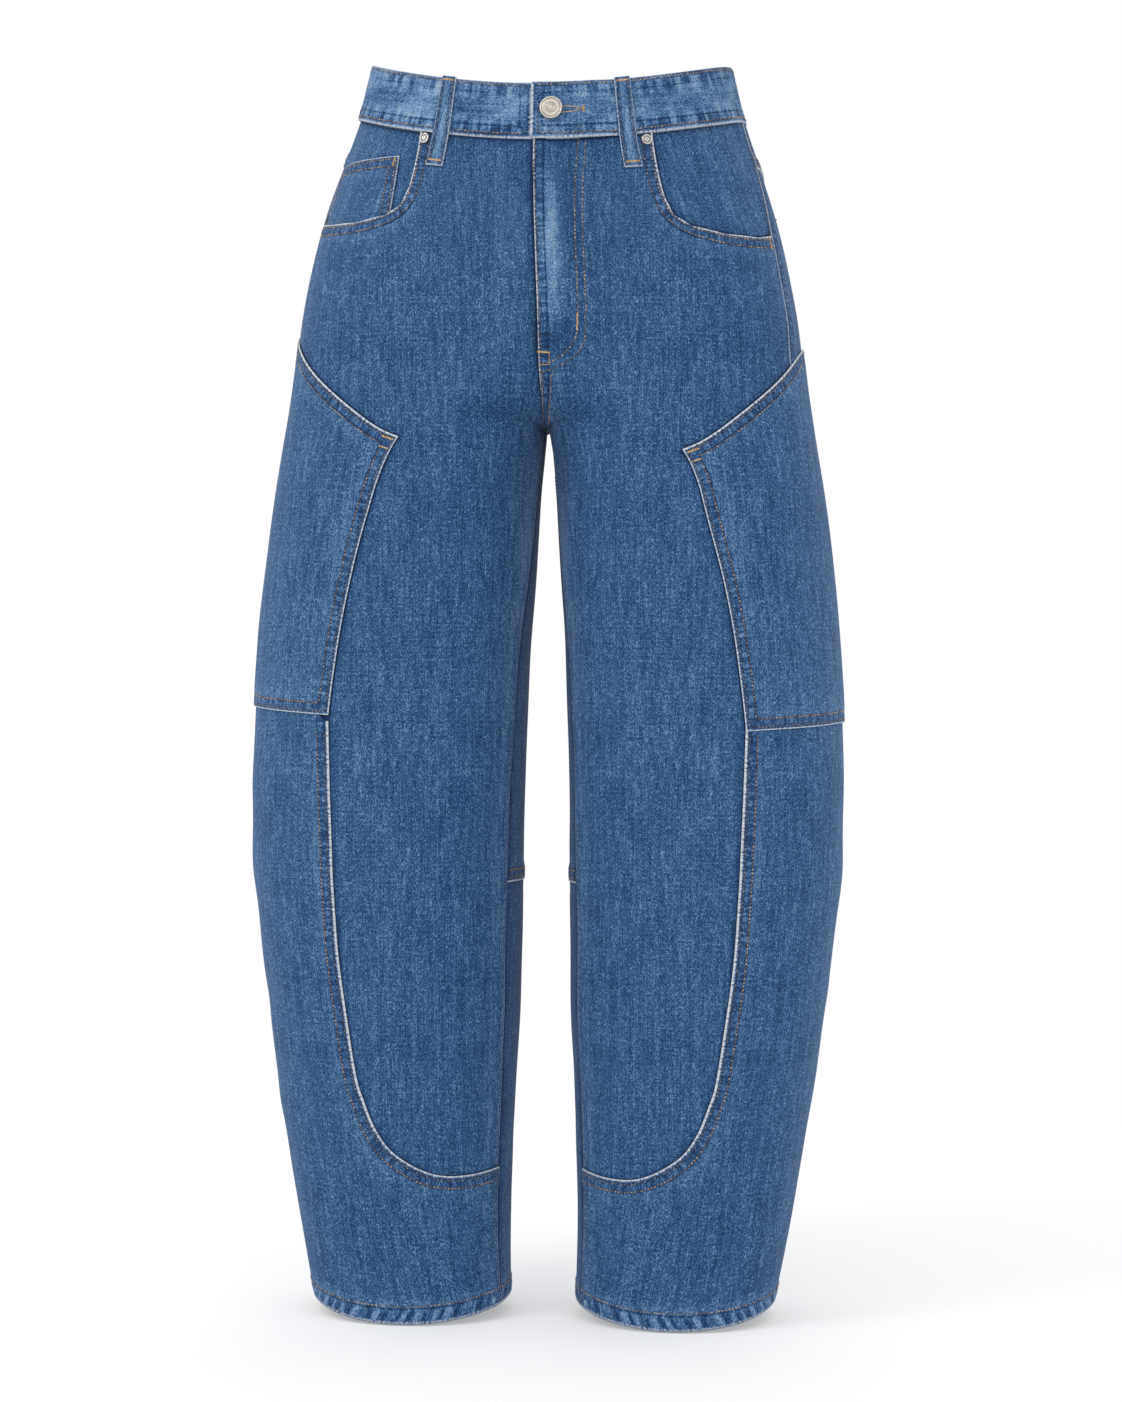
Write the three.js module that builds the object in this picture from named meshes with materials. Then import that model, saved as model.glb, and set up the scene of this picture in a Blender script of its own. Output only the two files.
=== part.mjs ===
// Barrel leg trousers in denim, filled out as worn and hollow. Millimetres, +Z up.
// The front faces -Y and the wearer's left is +X. The origin is the middle of the waist.
import * as THREE from 'three';

const CLOTH = 1.2; // one layer of denim
const BAND = 2.2; // the folded waistband
const LOOP = 1.8; // a folded belt loop
const SEAM = 0.3; // between two pieces that are sewn edge to edge
const LAP = 0.5; // between two layers, one on the other
const PATCH_LAP = 0.9; // under the side patch and the back pocket, which bridge the cloth below

const BAND_TOP = 22;
const BAND_BOTTOM = -21;
const PANEL_TOP = -21.5;
const CROTCH = -267;
const HEM = -958;
const U_END = -852.5; // where the U seam meets the inseam
const PATCH_END = -502; // the side patch's lower edge, where the U seam starts
const KNEE = -627; // the seam behind the knee

// Height and half-width are those of the side outline. The gap is from the middle plane to the leg.
const SECTION_COLUMNS = ['height', 'outer', 'gap', 'front', 'back', 'full'];
const SECTIONS = [
  [22, 143.6, 0, 97, 95, 2.15],
  [-21, 154.4, 0, 101, 101, 2.2],
  [-60, 167.2, 0, 104, 112, 2.3],
  [-100, 179.6, 0, 106, 123, 2.35],
  [-140, 188.9, 0, 107, 131, 2.4],
  [-188, 197.6, 0, 107, 134, 2.4],
  [-230, 202.2, 0, 105, 130, 2.35],
  [-267, 207.7, 4.2, 102, 121, 2.25],
  [-320, 216.8, 7.5, 100, 110, 2.15],
  [-380, 224.5, 10.6, 100, 103, 2.1],
  [-440, 230.5, 14.8, 101, 99, 2.1],
  [-500, 234.0, 17.2, 102, 97, 2.1],
  [-555, 235.6, 18.8, 102, 97, 2.1],
  [-610, 234.1, 19.4, 100, 97, 2.1],
  [-660, 229.8, 20.0, 97, 96, 2.1],
  [-720, 223.0, 20.9, 91, 93, 2.1],
  [-780, 215.1, 24.0, 84, 88, 2.1],
  [-840, 205.5, 26.4, 77, 82, 2.1],
  [-900, 195.4, 27.8, 71, 75, 2.1],
  [-958, 184.0, 26.7, 66, 69, 2.1],
];

// The rise is the height over which the inner side of each half closes down to the crotch, and the
// cleft is how far the cloth dips at the middle plane above that.
const FRONT_RISE = { height: 85, power: 1, cleft: 0.35 };
const BACK_RISE = { height: 150, power: 1.25, cleft: 0.8 };

// The middle of each half moves out from the body's middle to that of its leg.
const PARTING = { start: -40, end: -330 };
const GAP_SETTLES = -350;

// The waist dips in front and climbs behind, and the hem hangs lower in front and behind.
const WAIST_DIP = { front: -33, back: 8, power: 1.6, fade: -150 };
const HEM_DROP = { front: 14, back: 9, power: 1.5, start: -780 };

// The waist sits turned on the legs, in degrees, and lower on the wearer's left.
const TWIST = { turn: -3, tilt: 0.0276, drop: 1.6, top: -60, foot: -250 };

// Each fold is a soft ridge (or a trough) from one place to another, with its depth and width.
const FOLD_COLUMNS = ['angle', 'height', 'toAngle', 'toHeight', 'depth', 'width'];
const FOLDS = [
  [-78, -283, -38, -258, 3.0, 13],
  [-70, -318, -34, -300, -2.0, 15],
  [196, -240, 160, -262, -4.0, 18],
  [232, -292, 172, -300, 3.5, 18],
  [250, -560, 196, -592, 3.0, 20],
  [160, -650, 226, -664, -3.0, 20],
  [60, -600, 110, -640, 1.6, 24],
];

// Seams by angle: 0 is straight ahead, 90 the outer side, 180 behind, -90 the inner side.
const INSEAM = [
  [-267, -90], [-307, -83], [-350, -78.5], [-385, -76], [-430, -72], [-520, -68], [-610, -66],
  [-675, -64.5], [-790, -65.5], [-848, -65], [-892, -65], [-958, -67],
];
const SIDE_SEAM = [[-21, 81], [-60, 78], [-115, 70], [-182, 66], [-223, 63], [-440, 60]];
const SIDE_SEAM_TURN = { left: 0, right: 8 };
const BACK_SEAM = [[-492, 126], [-627, 125], [-780, 122], [-958, 118]];
const PATCH_FRONT = [[-288, 4.5], [-297, 5.6], [-335, 7.9], [-387, 12.6], [-433, 15.3], [-502, 18.4]];
const PATCH_BACK = [[-244, 127], [-340, 127], [-496, 126]];

// Curves that turn too far for a table by height, as pairs of angle and height.
const U_SIDE = [
  [18.8, -502], [17.4, -543], [16.6, -585], [16.3, -633], [16.1, -684], [14.5, -730], [11.9, -777],
  [9.4, -795], [5.2, -816],
];
const U_FOOT = [
  [5.2, -816], [-1, -832], [-10, -843], [-20, -850.5], [-30, -854], [-45, -854.5], [-65, -852.5],
];
const SCOOP = [
  [34.5, -21.5], [33.5, -50], [32.5, -80], [32.8, -100], [36.5, -111], [46, -117], [60, -117],
];
const SCOOP_END = -113;
const SCOOP_DROP = { left: -3, right: 5.5 };
const PATCH_TOP = [
  [4.5, -288], [12, -283], [21, -273.5], [35, -255.5], [54, -230], [65, -215], [76, -204], [92, -197],
  [108, -218], [127, -244],
];
const PATCH_FOOT = [[18.4, PATCH_END], [76, -495.5], [126, -496]];
const PATCH_DROP = { left: -5, right: 5 };
const APEX = -440; // top of the lower side panel, under the patch
const PANEL_CORNER = -492; // where the lower side panel meets the seam behind it
const BACK_LEVEL = -530; // the same place on the inseam

const YOKE = { side: -58, middle: -95 };
const COIN_POCKET = { top: [[40, -44], [76, -61]], foot: [[34, -121], [75, -117]] };
const FACING = { front: 27, foot: -129 };
const FLY_SHIELD = { under: 4, over: 8, top: -23, foot: -196 }; // across in degrees
const BACK_POCKET = {
  top: [[101, -80], [149, -97]],
  foot: [[105, -200], [126, -223], [146, -209]],
};
const LOOP_SIZE = { width: 12.5, top: 23, foot: -51, settle: 0.4, settles: [-45, -26] };
const LOOPS = { front: 27, back: 132, centre_back: 180 };
const BAND_LAP = { end: -0.5, under: 373, ease: [16, 27] };
const BUTTON = { angle: 5.5, height: 1, radius: 8.8, rim: 1.2, foot: 0.9, thick: 2.4, shank: 4.5 };
const RIVET = { angle: 32.4, height: -27, radius: 4.2, thick: 1.3 };

const DENIM = new THREE.MeshStandardMaterial({ color: 0x4a688c, roughness: 0.92, metalness: 0 });
const METAL = new THREE.MeshStandardMaterial({ color: 0xb4afa6, roughness: 0.38, metalness: 1 });

const radians = THREE.MathUtils.degToRad;
const degrees = THREE.MathUtils.radToDeg;
const lerp = THREE.MathUtils.lerp;
const clamp = THREE.MathUtils.clamp;
const smooth = THREE.MathUtils.smoothstep;

// Monotone cubic through the rows, so that no curve swings past its own values.
function curve(rows) {
  const points = [...rows].sort((one, other) => one[0] - other[0]);
  const slopes = points.slice(1).map((p, i) => (p[1] - points[i][1]) / (p[0] - points[i][0]));
  const tangents = points.map((_, i) => {
    if (i === 0) return slopes[0];
    if (i === slopes.length) return slopes[i - 1];
    const product = slopes[i - 1] * slopes[i];
    return product > 0 ? (2 * product) / (slopes[i - 1] + slopes[i]) : 0;
  });
  return (x) => {
    let i = points.findIndex((p) => p[0] > x) - 1;
    if (i < 0) i = x < points[0][0] ? 0 : points.length - 2;
    const width = points[i + 1][0] - points[i][0];
    const t = (x - points[i][0]) / width;
    const [t2, t3] = [t * t, t * t * t];
    return points[i][1] * (2 * t3 - 3 * t2 + 1) + width * tangents[i] * (t3 - 2 * t2 + t)
      + points[i + 1][1] * (3 * t2 - 2 * t3) + width * tangents[i + 1] * (t3 - t2);
  };
}

const column = (name) => curve(SECTIONS.map((row) => [row[0], row[SECTION_COLUMNS.indexOf(name)]]));
const SHAPE = Object.fromEntries(SECTION_COLUMNS.slice(1).map((name) => [name, column(name)]));
const inseam = curve(INSEAM);
const sideSeamTable = curve(SIDE_SEAM);
const backSeam = curve(BACK_SEAM);
const patchFront = curve(PATCH_FRONT);
const patchBack = curve(PATCH_BACK);
const sideSeam = (height, side) => sideSeamTable(height) + SIDE_SEAM_TURN[side];

// The gap between the legs opens at once on the inseam, and only further down round the thigh.
function legGap(height) {
  if (height > CROTCH) return { whole: 0, settled: 0 };
  const whole = SHAPE.gap(height);
  return { whole, settled: whole * (1 - smooth(height, GAP_SETTLES, CROTCH)) };
}

function middle(height) {
  const parted = 1 - smooth(height, PARTING.end, PARTING.start);
  return (SHAPE.outer(height) * parted + legGap(height).settled) / 2;
}

// The inner side of a half: its full half-width, and how much of that it takes to reach the middle.
function innerSide(height, rise) {
  const centre = middle(height);
  if (height <= CROTCH) return { wide: centre - legGap(height).settled, share: 1 };
  const outer = SHAPE.outer(height);
  if (centre < 0.001) return { wide: outer, share: 0 };
  const closed = clamp((CROTCH + rise.height - height) / rise.height, 0, 1) ** rise.power;
  const cleft = (rise.cleft * centre) / outer;
  const share = Math.sqrt(cleft ** 2 + (1 - cleft ** 2) * closed ** 2);
  return { wide: centre / share, share };
}

// The angle at which a half meets the middle plane, in front or behind.
function middleAngle(height, rise) {
  const { share } = innerSide(height, rise);
  const full = SHAPE.full(height);
  return degrees(Math.atan2(share, Math.max(1 - share ** full, 0) ** (1 / full)));
}
const frontEdge = (height) => (height > CROTCH ? -middleAngle(height, FRONT_RISE) : inseam(height));
const backEdge = (height) => (
  height > CROTCH ? 180 + middleAngle(height, BACK_RISE) : inseam(height) + 360
);

function dip(angle, height) {
  const cosine = Math.cos(radians(angle));
  const waist = cosine > 0 ? WAIST_DIP.front * cosine ** WAIST_DIP.power : WAIST_DIP.back * cosine ** 2;
  const hem = (cosine > 0 ? HEM_DROP.front : HEM_DROP.back) * Math.abs(cosine) ** HEM_DROP.power;
  const low = clamp((HEM_DROP.start - height) / (HEM_DROP.start - HEM), 0, 1) ** 2;
  return waist * smooth(height, WAIST_DIP.fade, BAND_BOTTOM) - hem * low;
}

function foldDepth(angle, height) {
  const reach = THREE.MathUtils.degToRad(1) * 105; // millimetres along the cloth for one degree
  return FOLDS.reduce((sum, row) => {
    const fold = Object.fromEntries(FOLD_COLUMNS.map((name, i) => [name, row[i]]));
    const along = [(fold.toAngle - fold.angle) * reach, fold.toHeight - fold.height];
    const place = [(angle - fold.angle) * reach, height - fold.height];
    const length = Math.hypot(...along);
    const t = (place[0] * along[0] + place[1] * along[1]) / length ** 2;
    const off = (place[0] * along[1] - place[1] * along[0]) / length;
    const ends = Math.exp(-((2 * (t - 0.5)) ** 4));
    return sum + fold.depth * ends * Math.exp(-((off / fold.width) ** 2));
  }, 0);
}

// A place in the middle of the cloth on the wearer's left half.
function surface(angle, height) {
  const turn = radians(angle);
  const [sine, cosine] = [Math.sin(turn), Math.cos(turn)];
  const ahead = cosine > 0;
  const centre = middle(height);
  const { wide: inner } = innerSide(height, ahead ? FRONT_RISE : BACK_RISE);
  const wide = sine > 0 ? SHAPE.outer(height) - centre : inner;
  const deep = ahead ? SHAPE.front(height) : SHAPE.back(height);
  const full = SHAPE.full(height);
  const reach = (Math.abs(sine) ** full + Math.abs(cosine) ** full) ** (-1 / full);
  const fold = foldDepth(angle, height);
  const gap = legGap(height);
  const inseamGap = (gap.whole - gap.settled) * Math.max(-sine, 0) ** 8;
  return new THREE.Vector3(
    centre + (wide + fold) * reach * sine + inseamGap,
    -(deep + fold) * reach * cosine,
    height + dip(angle, height),
  );
}

function outward(angle, height) {
  const step = 0.5;
  const around = surface(angle + step, height).sub(surface(angle - step, height));
  const down = surface(angle, height - step).sub(surface(angle, height + step));
  return down.cross(around).normalize();
}

// A place round the whole waist, where both halves make one ring.
function ring(angle, height) {
  const turn = ((angle % 360) + 360) % 360;
  const mirrored = turn > 180;
  const half = mirrored ? 360 - turn : turn;
  const flip = new THREE.Vector3(mirrored ? -1 : 1, 1, 1);
  return { place: surface(half, height).multiply(flip), normal: outward(half, height).multiply(flip) };
}

const half = (angle, height) => ({ place: surface(angle, height), normal: outward(angle, height) });

// Points at equal steps along a chain of angle and height, both ends included.
function chain(points, count) {
  const reach = (p, q) => Math.hypot((q[0] - p[0]) * 1.8, q[1] - p[1]);
  const lengths = points.slice(1).map((p, i) => reach(points[i], p));
  const total = lengths.reduce((sum, length) => sum + length, 0);
  return Array.from({ length: count + 1 }, (_, n) => {
    let left = (total * n) / count;
    let i = 0;
    while (i < lengths.length - 1 && left > lengths[i]) {
      left -= lengths[i];
      i += 1;
    }
    const t = Math.min(left / lengths[i], 1);
    return [lerp(points[i][0], points[i + 1][0], t), lerp(points[i][1], points[i + 1][1], t)];
  });
}

// Points down an edge whose angle follows the height.
function edge(angleAt, top, foot, count) {
  return Array.from({ length: count + 1 }, (_, i) => {
    const height = lerp(top, foot, i / count);
    return [angleAt(height), height];
  });
}

// Rows that run straight from one edge to the other.
function ruled(start, end, columns) {
  return start.map((from, row) => Array.from({ length: columns + 1 }, (_, i) => {
    const u = i / columns;
    return [lerp(from[0], end[row][0], u), lerp(from[1], end[row][1], u)];
  }));
}

// Rows beside the crotch, where one edge swings in to the inseam. The columns keep those of the
// thigh below, and only the ones beside that edge crowd together.
function closing(fixed, moving, columns) {
  const meets = moving.at(-1)[0];
  return fixed.map(([angle, height], row) => {
    const crowded = clamp((RISE_TOP - height) / (RISE_TOP - CROWDED), 0, 1);
    return Array.from({ length: columns + 1 }, (_, i) => {
      const u = i / columns;
      const share = lerp(u, u ** 3, crowded);
      return [lerp(angle, meets, u) + (moving[row][0] - meets) * share, height];
    });
  });
}

// A grid inside four edges: rows run from start to end, columns from top to foot.
function framed(start, end, top, foot) {
  const [rows, columns] = [start.length - 1, top.length - 1];
  return start.map((from, j) => top.map((high, i) => {
    const [u, v] = [i / columns, j / rows];
    return [0, 1].map((axis) => lerp(from[axis], end[j][axis], u) + lerp(high[axis], foot[i][axis], v)
      - lerp(lerp(start[0][axis], end[0][axis], u), lerp(start[rows][axis], end[rows][axis], u), v));
  }));
}

// Shared corner points and the triangles between them, for one or more grids that meet.
function stitchGrids(grids) {
  const found = new Map();
  const points = [];
  const faces = [];
  const index = (point) => {
    const key = point.map((value) => value.toFixed(3)).join();
    if (!found.has(key)) {
      found.set(key, points.length);
      points.push(point);
    }
    return found.get(key);
  };
  for (const grid of grids) {
    for (let j = 0; j + 1 < grid.length; j += 1) {
      for (let i = 0; i + 1 < grid[j].length; i += 1) {
        const [a, b] = [index(grid[j][i]), index(grid[j][i + 1])];
        const [c, d] = [index(grid[j + 1][i + 1]), index(grid[j + 1][i])];
        faces.push([a, d, c], [a, c, b]);
      }
    }
  }
  return { points, faces };
}

function openEdges(faces) {
  const directed = new Set(faces.flatMap(([a, b, c]) => [`${a},${b}`, `${b},${c}`, `${c},${a}`]));
  return [...directed]
    .map((key) => key.split(',').map(Number))
    .filter(([a, b]) => !directed.has(`${b},${a}`));
}

// Each corner on an open edge steps back by half of the seam's gap.
function stepBack(places, normals, rim, distance) {
  const moves = new Map();
  for (const [a, b] of rim) {
    for (const corner of [a, b]) {
      const along = places[b].clone().sub(places[a]).normalize();
      const inward = normals[corner].clone().cross(along).normalize();
      moves.set(corner, [...(moves.get(corner) ?? []), inward]);
    }
  }
  for (const [corner, [one, other = one]] of moves) {
    const spread = Math.max(1 + one.dot(other), 0.5);
    places[corner].addScaledVector(one.clone().add(other), distance / spread);
  }
}

// A wall of cloth over grids of angle and height. out is how far its middle lies off the surface.
function wall(
  grids,
  { side = 'left', out = 0, thick = CLOTH, gap = SEAM, locate = half, whole = false } = {},
) {
  const { points, faces } = stitchGrids(grids);
  const located = points.map(([angle, height]) => locate(angle, height));
  const places = located.map((one) => one.place);
  const normals = located.map((one) => one.normal);
  const rim = openEdges(faces);
  stepBack(places, normals, rim, gap / 2);
  const count = points.length;
  const corners = [1, -1].flatMap((face) => points.map(([angle, height], i) => {
    const lift = typeof out === 'function' ? out(angle, height) : out;
    const corner = places[i].clone().addScaledVector(normals[i], lift + (face * thick) / 2);
    if (!whole) corner.x = Math.max(corner.x, gap / 2);
    return corner;
  }));
  const triangles = [
    ...faces,
    ...faces.map(([a, b, c]) => [a + count, c + count, b + count]),
    ...rim.flatMap(([a, b]) => [[b, a, a + count], [b, a + count, b + count]]),
  ];
  return solid(corners, triangles, side === 'right');
}

function swung(vector, height) {
  const turn = radians(TWIST.turn * smooth(height, TWIST.foot, TWIST.top));
  return vector.applyAxisAngle(new THREE.Vector3(0, 0, 1), turn);
}

function twisted(vector, height) {
  const placed = swung(vector, height);
  placed.z -= (TWIST.tilt * placed.x + TWIST.drop) * smooth(height, TWIST.foot, TWIST.top);
  return placed;
}

function solid(corners, triangles, mirrored) {
  const geometry = new THREE.BufferGeometry();
  const flip = new THREE.Vector3(mirrored ? -1 : 1, 1, 1);
  const placed = corners.map((corner) => twisted(corner.clone().multiply(flip), corner.z));
  geometry.setAttribute('position', new THREE.Float32BufferAttribute(
    placed.flatMap((corner) => corner.toArray()), 3));
  geometry.setIndex(triangles.flatMap(([a, b, c]) => (mirrored ? [a, c, b] : [a, b, c])));
  geometry.computeVertexNormals();
  return geometry;
}

const trousers = new THREE.Group();

function add(name, geometry, material = DENIM) {
  const mesh = new THREE.Mesh(geometry, material);
  mesh.name = name;
  trousers.add(mesh);
  return mesh;
}

const COLUMNS = { front: 10, cuff: 10, side: 8, back: 13, lower: 10 };
const ROWS = { scoop: 6, hip: 4, seat: 2, thigh: 5, slope: 2, calf: 8, cuff: 4, knee: 3, lower: 8 };
const RISE_TOP = -222;
const CROWDED = -254;
const crotchRows = [RISE_TOP, -240, CROWDED, -263, CROTCH];

const uSide = chain(U_SIDE, ROWS.calf);
const uFoot = chain(U_FOOT, COLUMNS.cuff).reverse();
const [turnAngle, turnTop] = U_SIDE.at(-1);
const turnDown = edge(() => turnAngle, turnTop, HEM, ROWS.cuff);
const slopeFront = (side) => chain([[sideSeam(APEX, side), APEX], U_SIDE[0]], ROWS.slope);
const slopeBack = (side) => chain([[sideSeam(APEX, side), APEX], [backSeam(PANEL_CORNER), PANEL_CORNER]],
  COLUMNS.side - ROWS.slope);

function front(side) {
  const mouthEnd = SCOOP_END + SCOOP_DROP[side];
  const mouth = [...SCOOP, [sideSeam(mouthEnd, side), SCOOP_END]]
    .map(([angle, height], i) => [angle, i === 0 ? height : height + SCOOP_DROP[side]]);
  const hem = edge(inseam, PATCH_END, U_END, ROWS.calf);
  const rise = crotchRows.map((height) => [frontEdge(height), height]);
  const riseSide = crotchRows.map((height) => [sideSeam(height, side), height]);
  return wall([
    ruled(edge(frontEdge, PANEL_TOP, mouthEnd, ROWS.scoop), chain(mouth, ROWS.scoop), COLUMNS.front),
    ruled(edge(frontEdge, mouthEnd, RISE_TOP, ROWS.hip),
      edge((height) => sideSeam(height, side), mouthEnd, RISE_TOP, ROWS.hip), COLUMNS.front),
    closing(riseSide, rise, COLUMNS.front).map((row) => row.reverse()),
    ruled(edge(inseam, CROTCH, APEX, ROWS.thigh),
      edge((height) => sideSeam(height, side), CROTCH, APEX, ROWS.thigh), COLUMNS.front),
    ruled(edge(inseam, APEX, PATCH_END, ROWS.slope), slopeFront(side), COLUMNS.front),
    framed(hem, uSide, chain([hem[0], uSide[0]], COLUMNS.cuff), uFoot),
  ], { side });
}

function sideLower(side) {
  const start = [...uSide, ...turnDown.slice(1)];
  const rows = start.length - 1;
  const end = edge(backSeam, PANEL_CORNER, HEM, rows);
  const top = [...slopeFront(side).reverse(), ...slopeBack(side).slice(1)];
  const foot = chain([[turnAngle, HEM], [backSeam(HEM), HEM]], COLUMNS.side);
  const inner = edge(inseam, U_END, HEM, ROWS.cuff);
  const hem = chain([[inseam(HEM), HEM], [turnAngle, HEM]], COLUMNS.cuff);
  return wall([framed(start, end, top, foot), framed(inner, turnDown, uFoot, hem)], { side });
}

function backUpper(side) {
  const seam = (height) => sideSeam(height, side);
  const slope = slopeBack(side);
  const last = slope.length - 1;
  const mouthEnd = SCOOP_END + SCOOP_DROP[side];
  const outer = [
    ...edge(seam, YOKE.side, mouthEnd, ROWS.seat),
    ...edge(seam, mouthEnd, RISE_TOP, ROWS.hip).slice(1),
  ];
  const middle = edge(backEdge, YOKE.middle, RISE_TOP, outer.length - 1);
  return wall([
    ruled(outer, middle, COLUMNS.back),
    closing(crotchRows.map((height) => [seam(height), height]),
      crotchRows.map((height) => [backEdge(height), height]), COLUMNS.back),
    ruled(edge(seam, CROTCH, APEX, ROWS.thigh), edge(backEdge, CROTCH, APEX, ROWS.thigh), COLUMNS.back),
    ruled(slope, edge(backEdge, APEX, BACK_LEVEL, last), COLUMNS.back),
    ruled(edge(backSeam, PANEL_CORNER, KNEE, ROWS.knee), edge(backEdge, BACK_LEVEL, KNEE, ROWS.knee),
      COLUMNS.back),
  ], { side });
}

function backLower(side) {
  const outer = edge(backSeam, KNEE, HEM, ROWS.lower);
  const inner = edge(backEdge, KNEE, HEM, ROWS.lower);
  return wall([ruled(outer, inner, COLUMNS.lower)], { side, gap: SEAM * 1.5 });
}

function yoke(side) {
  const seam = (height) => sideSeam(height, side);
  const outer = edge(seam, PANEL_TOP, YOKE.side, 2);
  const inner = edge(backEdge, PANEL_TOP, YOKE.middle, 2);
  return wall([ruled(outer, inner, COLUMNS.back)], { side });
}

function sidePatch(side) {
  const [columns, rows] = [14, 9];
  const drop = PATCH_DROP[side];
  const move = (points) => points.map(([angle, height]) => [angle, height + drop]);
  const start = move(edge(patchFront, PATCH_TOP[0][1], PATCH_END, rows));
  const end = move(edge(patchBack, PATCH_TOP.at(-1)[1], PATCH_FOOT.at(-1)[1], rows));
  const top = move(chain(PATCH_TOP, columns));
  const foot = move(chain(PATCH_FOOT, columns));
  return wall([framed(start, end, top, foot)], { side, out: CLOTH + PATCH_LAP });
}

// The facing lies two layers below the front, so that the coin pocket fits between them.
function facing(side) {
  const layers = side === 'right' ? 2 : 1;
  const foot = FACING.foot + SCOOP_DROP[side];
  const grid = ruled(edge(() => FACING.front, PANEL_TOP, foot, 6),
    edge((height) => sideSeam(height, side) - 1, PANEL_TOP, foot, 6), 10);
  return wall([grid], { side, out: -layers * (CLOTH + LAP) - LAP });
}

function coinPocket() {
  const grid = ruled(chain([COIN_POCKET.top[0], COIN_POCKET.foot[0]], 5),
    chain([COIN_POCKET.top[1], COIN_POCKET.foot[1]], 5), 8);
  return wall([grid], { side: 'right', out: -(CLOTH + LAP) });
}

// The shield lies behind both fronts, so each of its columns follows the half that it is on.
function flyShield() {
  const { under, over, top, foot } = FLY_SHIELD;
  const grid = ruled(edge(() => -under, top, foot, 8), edge(() => over, top, foot, 8), 6);
  const locate = (across, height) => {
    const angle = frontEdge(height) + Math.abs(across);
    const flip = new THREE.Vector3(across < 0 ? -1 : 1, 1, 1);
    return { place: surface(angle, height).multiply(flip), normal: outward(angle, height).multiply(flip) };
  };
  return wall([grid], { out: -(CLOTH + 2 * LAP), locate, whole: true });
}

function backPocket(side) {
  const [columns, rows] = [8, 5];
  const top = chain(BACK_POCKET.top, columns);
  const foot = chain(BACK_POCKET.foot, columns);
  const start = chain([top[0], foot[0]], rows);
  const end = chain([top[columns], foot[columns]], rows);
  return wall([framed(start, end, top, foot)], { side, out: CLOTH + PATCH_LAP });
}

function waistband() {
  const columns = 44;
  const grid = ruled(edge(() => BAND_LAP.end, BAND_TOP, BAND_BOTTOM, 1),
    edge(() => BAND_LAP.under, BAND_TOP, BAND_BOTTOM, 1), columns);
  const out = (angle) => (BAND + LAP) * (1 - smooth(angle, ...BAND_LAP.ease));
  return wall([grid], { thick: BAND, out, locate: ring, whole: true });
}

// A loop lies on the band at its top and on the panel below at its foot.
function beltLoop(angle) {
  const degree = ring(angle + 0.5, 0).place.distanceTo(ring(angle - 0.5, 0).place);
  const spread = LOOP_SIZE.width / 2 / degree;
  const grid = ruled(edge(() => angle - spread, LOOP_SIZE.top, LOOP_SIZE.foot, 6),
    edge(() => angle + spread, LOOP_SIZE.top, LOOP_SIZE.foot, 6), 2);
  const onBand = BAND / 2 + LAP + LOOP / 2;
  const out = (_, height) => onBand - LOOP_SIZE.settle * (1 - smooth(height, ...LOOP_SIZE.settles));
  return wall([grid], { thick: LOOP, out, locate: ring, whole: true, gap: 0 });
}

// A round metal piece turned about its own axis, its back at zero.
function turned(profile) {
  const outline = profile.map(([radius, height]) => new THREE.Vector2(radius, height));
  return new THREE.LatheGeometry(outline, 20);
}

function seat(mesh, side, angle, level, out) {
  const { place, normal } = ring(side === 'right' ? -angle : angle, level);
  const height = place.z;
  mesh.position.copy(twisted(place.addScaledVector(normal, out), height));
  mesh.quaternion.setFromUnitVectors(new THREE.Vector3(0, 1, 0), swung(normal, height));
}

function buttonShape() {
  const { radius, rim, foot, thick, shank } = BUTTON;
  const top = foot + thick;
  const dish = radius - rim * 1.6;
  return turned([
    [0, 0], [shank, 0], [shank, foot], [radius - rim, foot], [radius, foot + thick * 0.4],
    [radius - rim * 0.5, top], [dish, top - rim / 3], [dish * 0.45, top - rim / 3],
    [dish * 0.3, top - rim / 12], [0, top - rim / 12],
  ]);
}

function rivetShape() {
  const { radius, thick } = RIVET;
  return turned([[0, 0], [radius, 0], [radius, thick * 0.4], [radius * 0.7, thick], [0, thick]]);
}

add('waistband', waistband());
add('fly_shield', flyShield());
add('coin_pocket', coinPocket());
for (const side of ['left', 'right']) {
  add(`front_${side}`, front(side));
  add(`facing_${side}`, facing(side));
  add(`side_patch_${side}`, sidePatch(side));
  add(`side_lower_${side}`, sideLower(side));
  add(`yoke_${side}`, yoke(side));
  add(`back_upper_${side}`, backUpper(side));
  add(`back_lower_${side}`, backLower(side));
  add(`back_pocket_${side}`, backPocket(side));
  const turn = side === 'left' ? 1 : -1;
  add(`loop_front_${side}`, beltLoop(turn * LOOPS.front));
  add(`loop_back_${side}`, beltLoop(turn * LOOPS.back));
  const rivet = add(`rivet_${side}`, rivetShape(), METAL);
  seat(rivet, side, RIVET.angle, RIVET.height, CLOTH / 2 + SEAM);
}
add('loop_centre_back', beltLoop(LOOPS.centre_back));
const button = add('button', buttonShape(), METAL);
seat(button, 'left', BUTTON.angle, BUTTON.height, BAND * 1.5 + LAP + SEAM);

export default trousers;
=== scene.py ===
# Barrel leg trousers in washed denim, filled out as worn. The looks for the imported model.
# Sizes are millimetres until a mesh is made, and angles are degrees round each leg:
# 0 is straight ahead, 90 the outer side, 180 behind and -90 the inner side.
import math

import bpy
import numpy as np
from mathutils import Matrix, Vector


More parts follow.
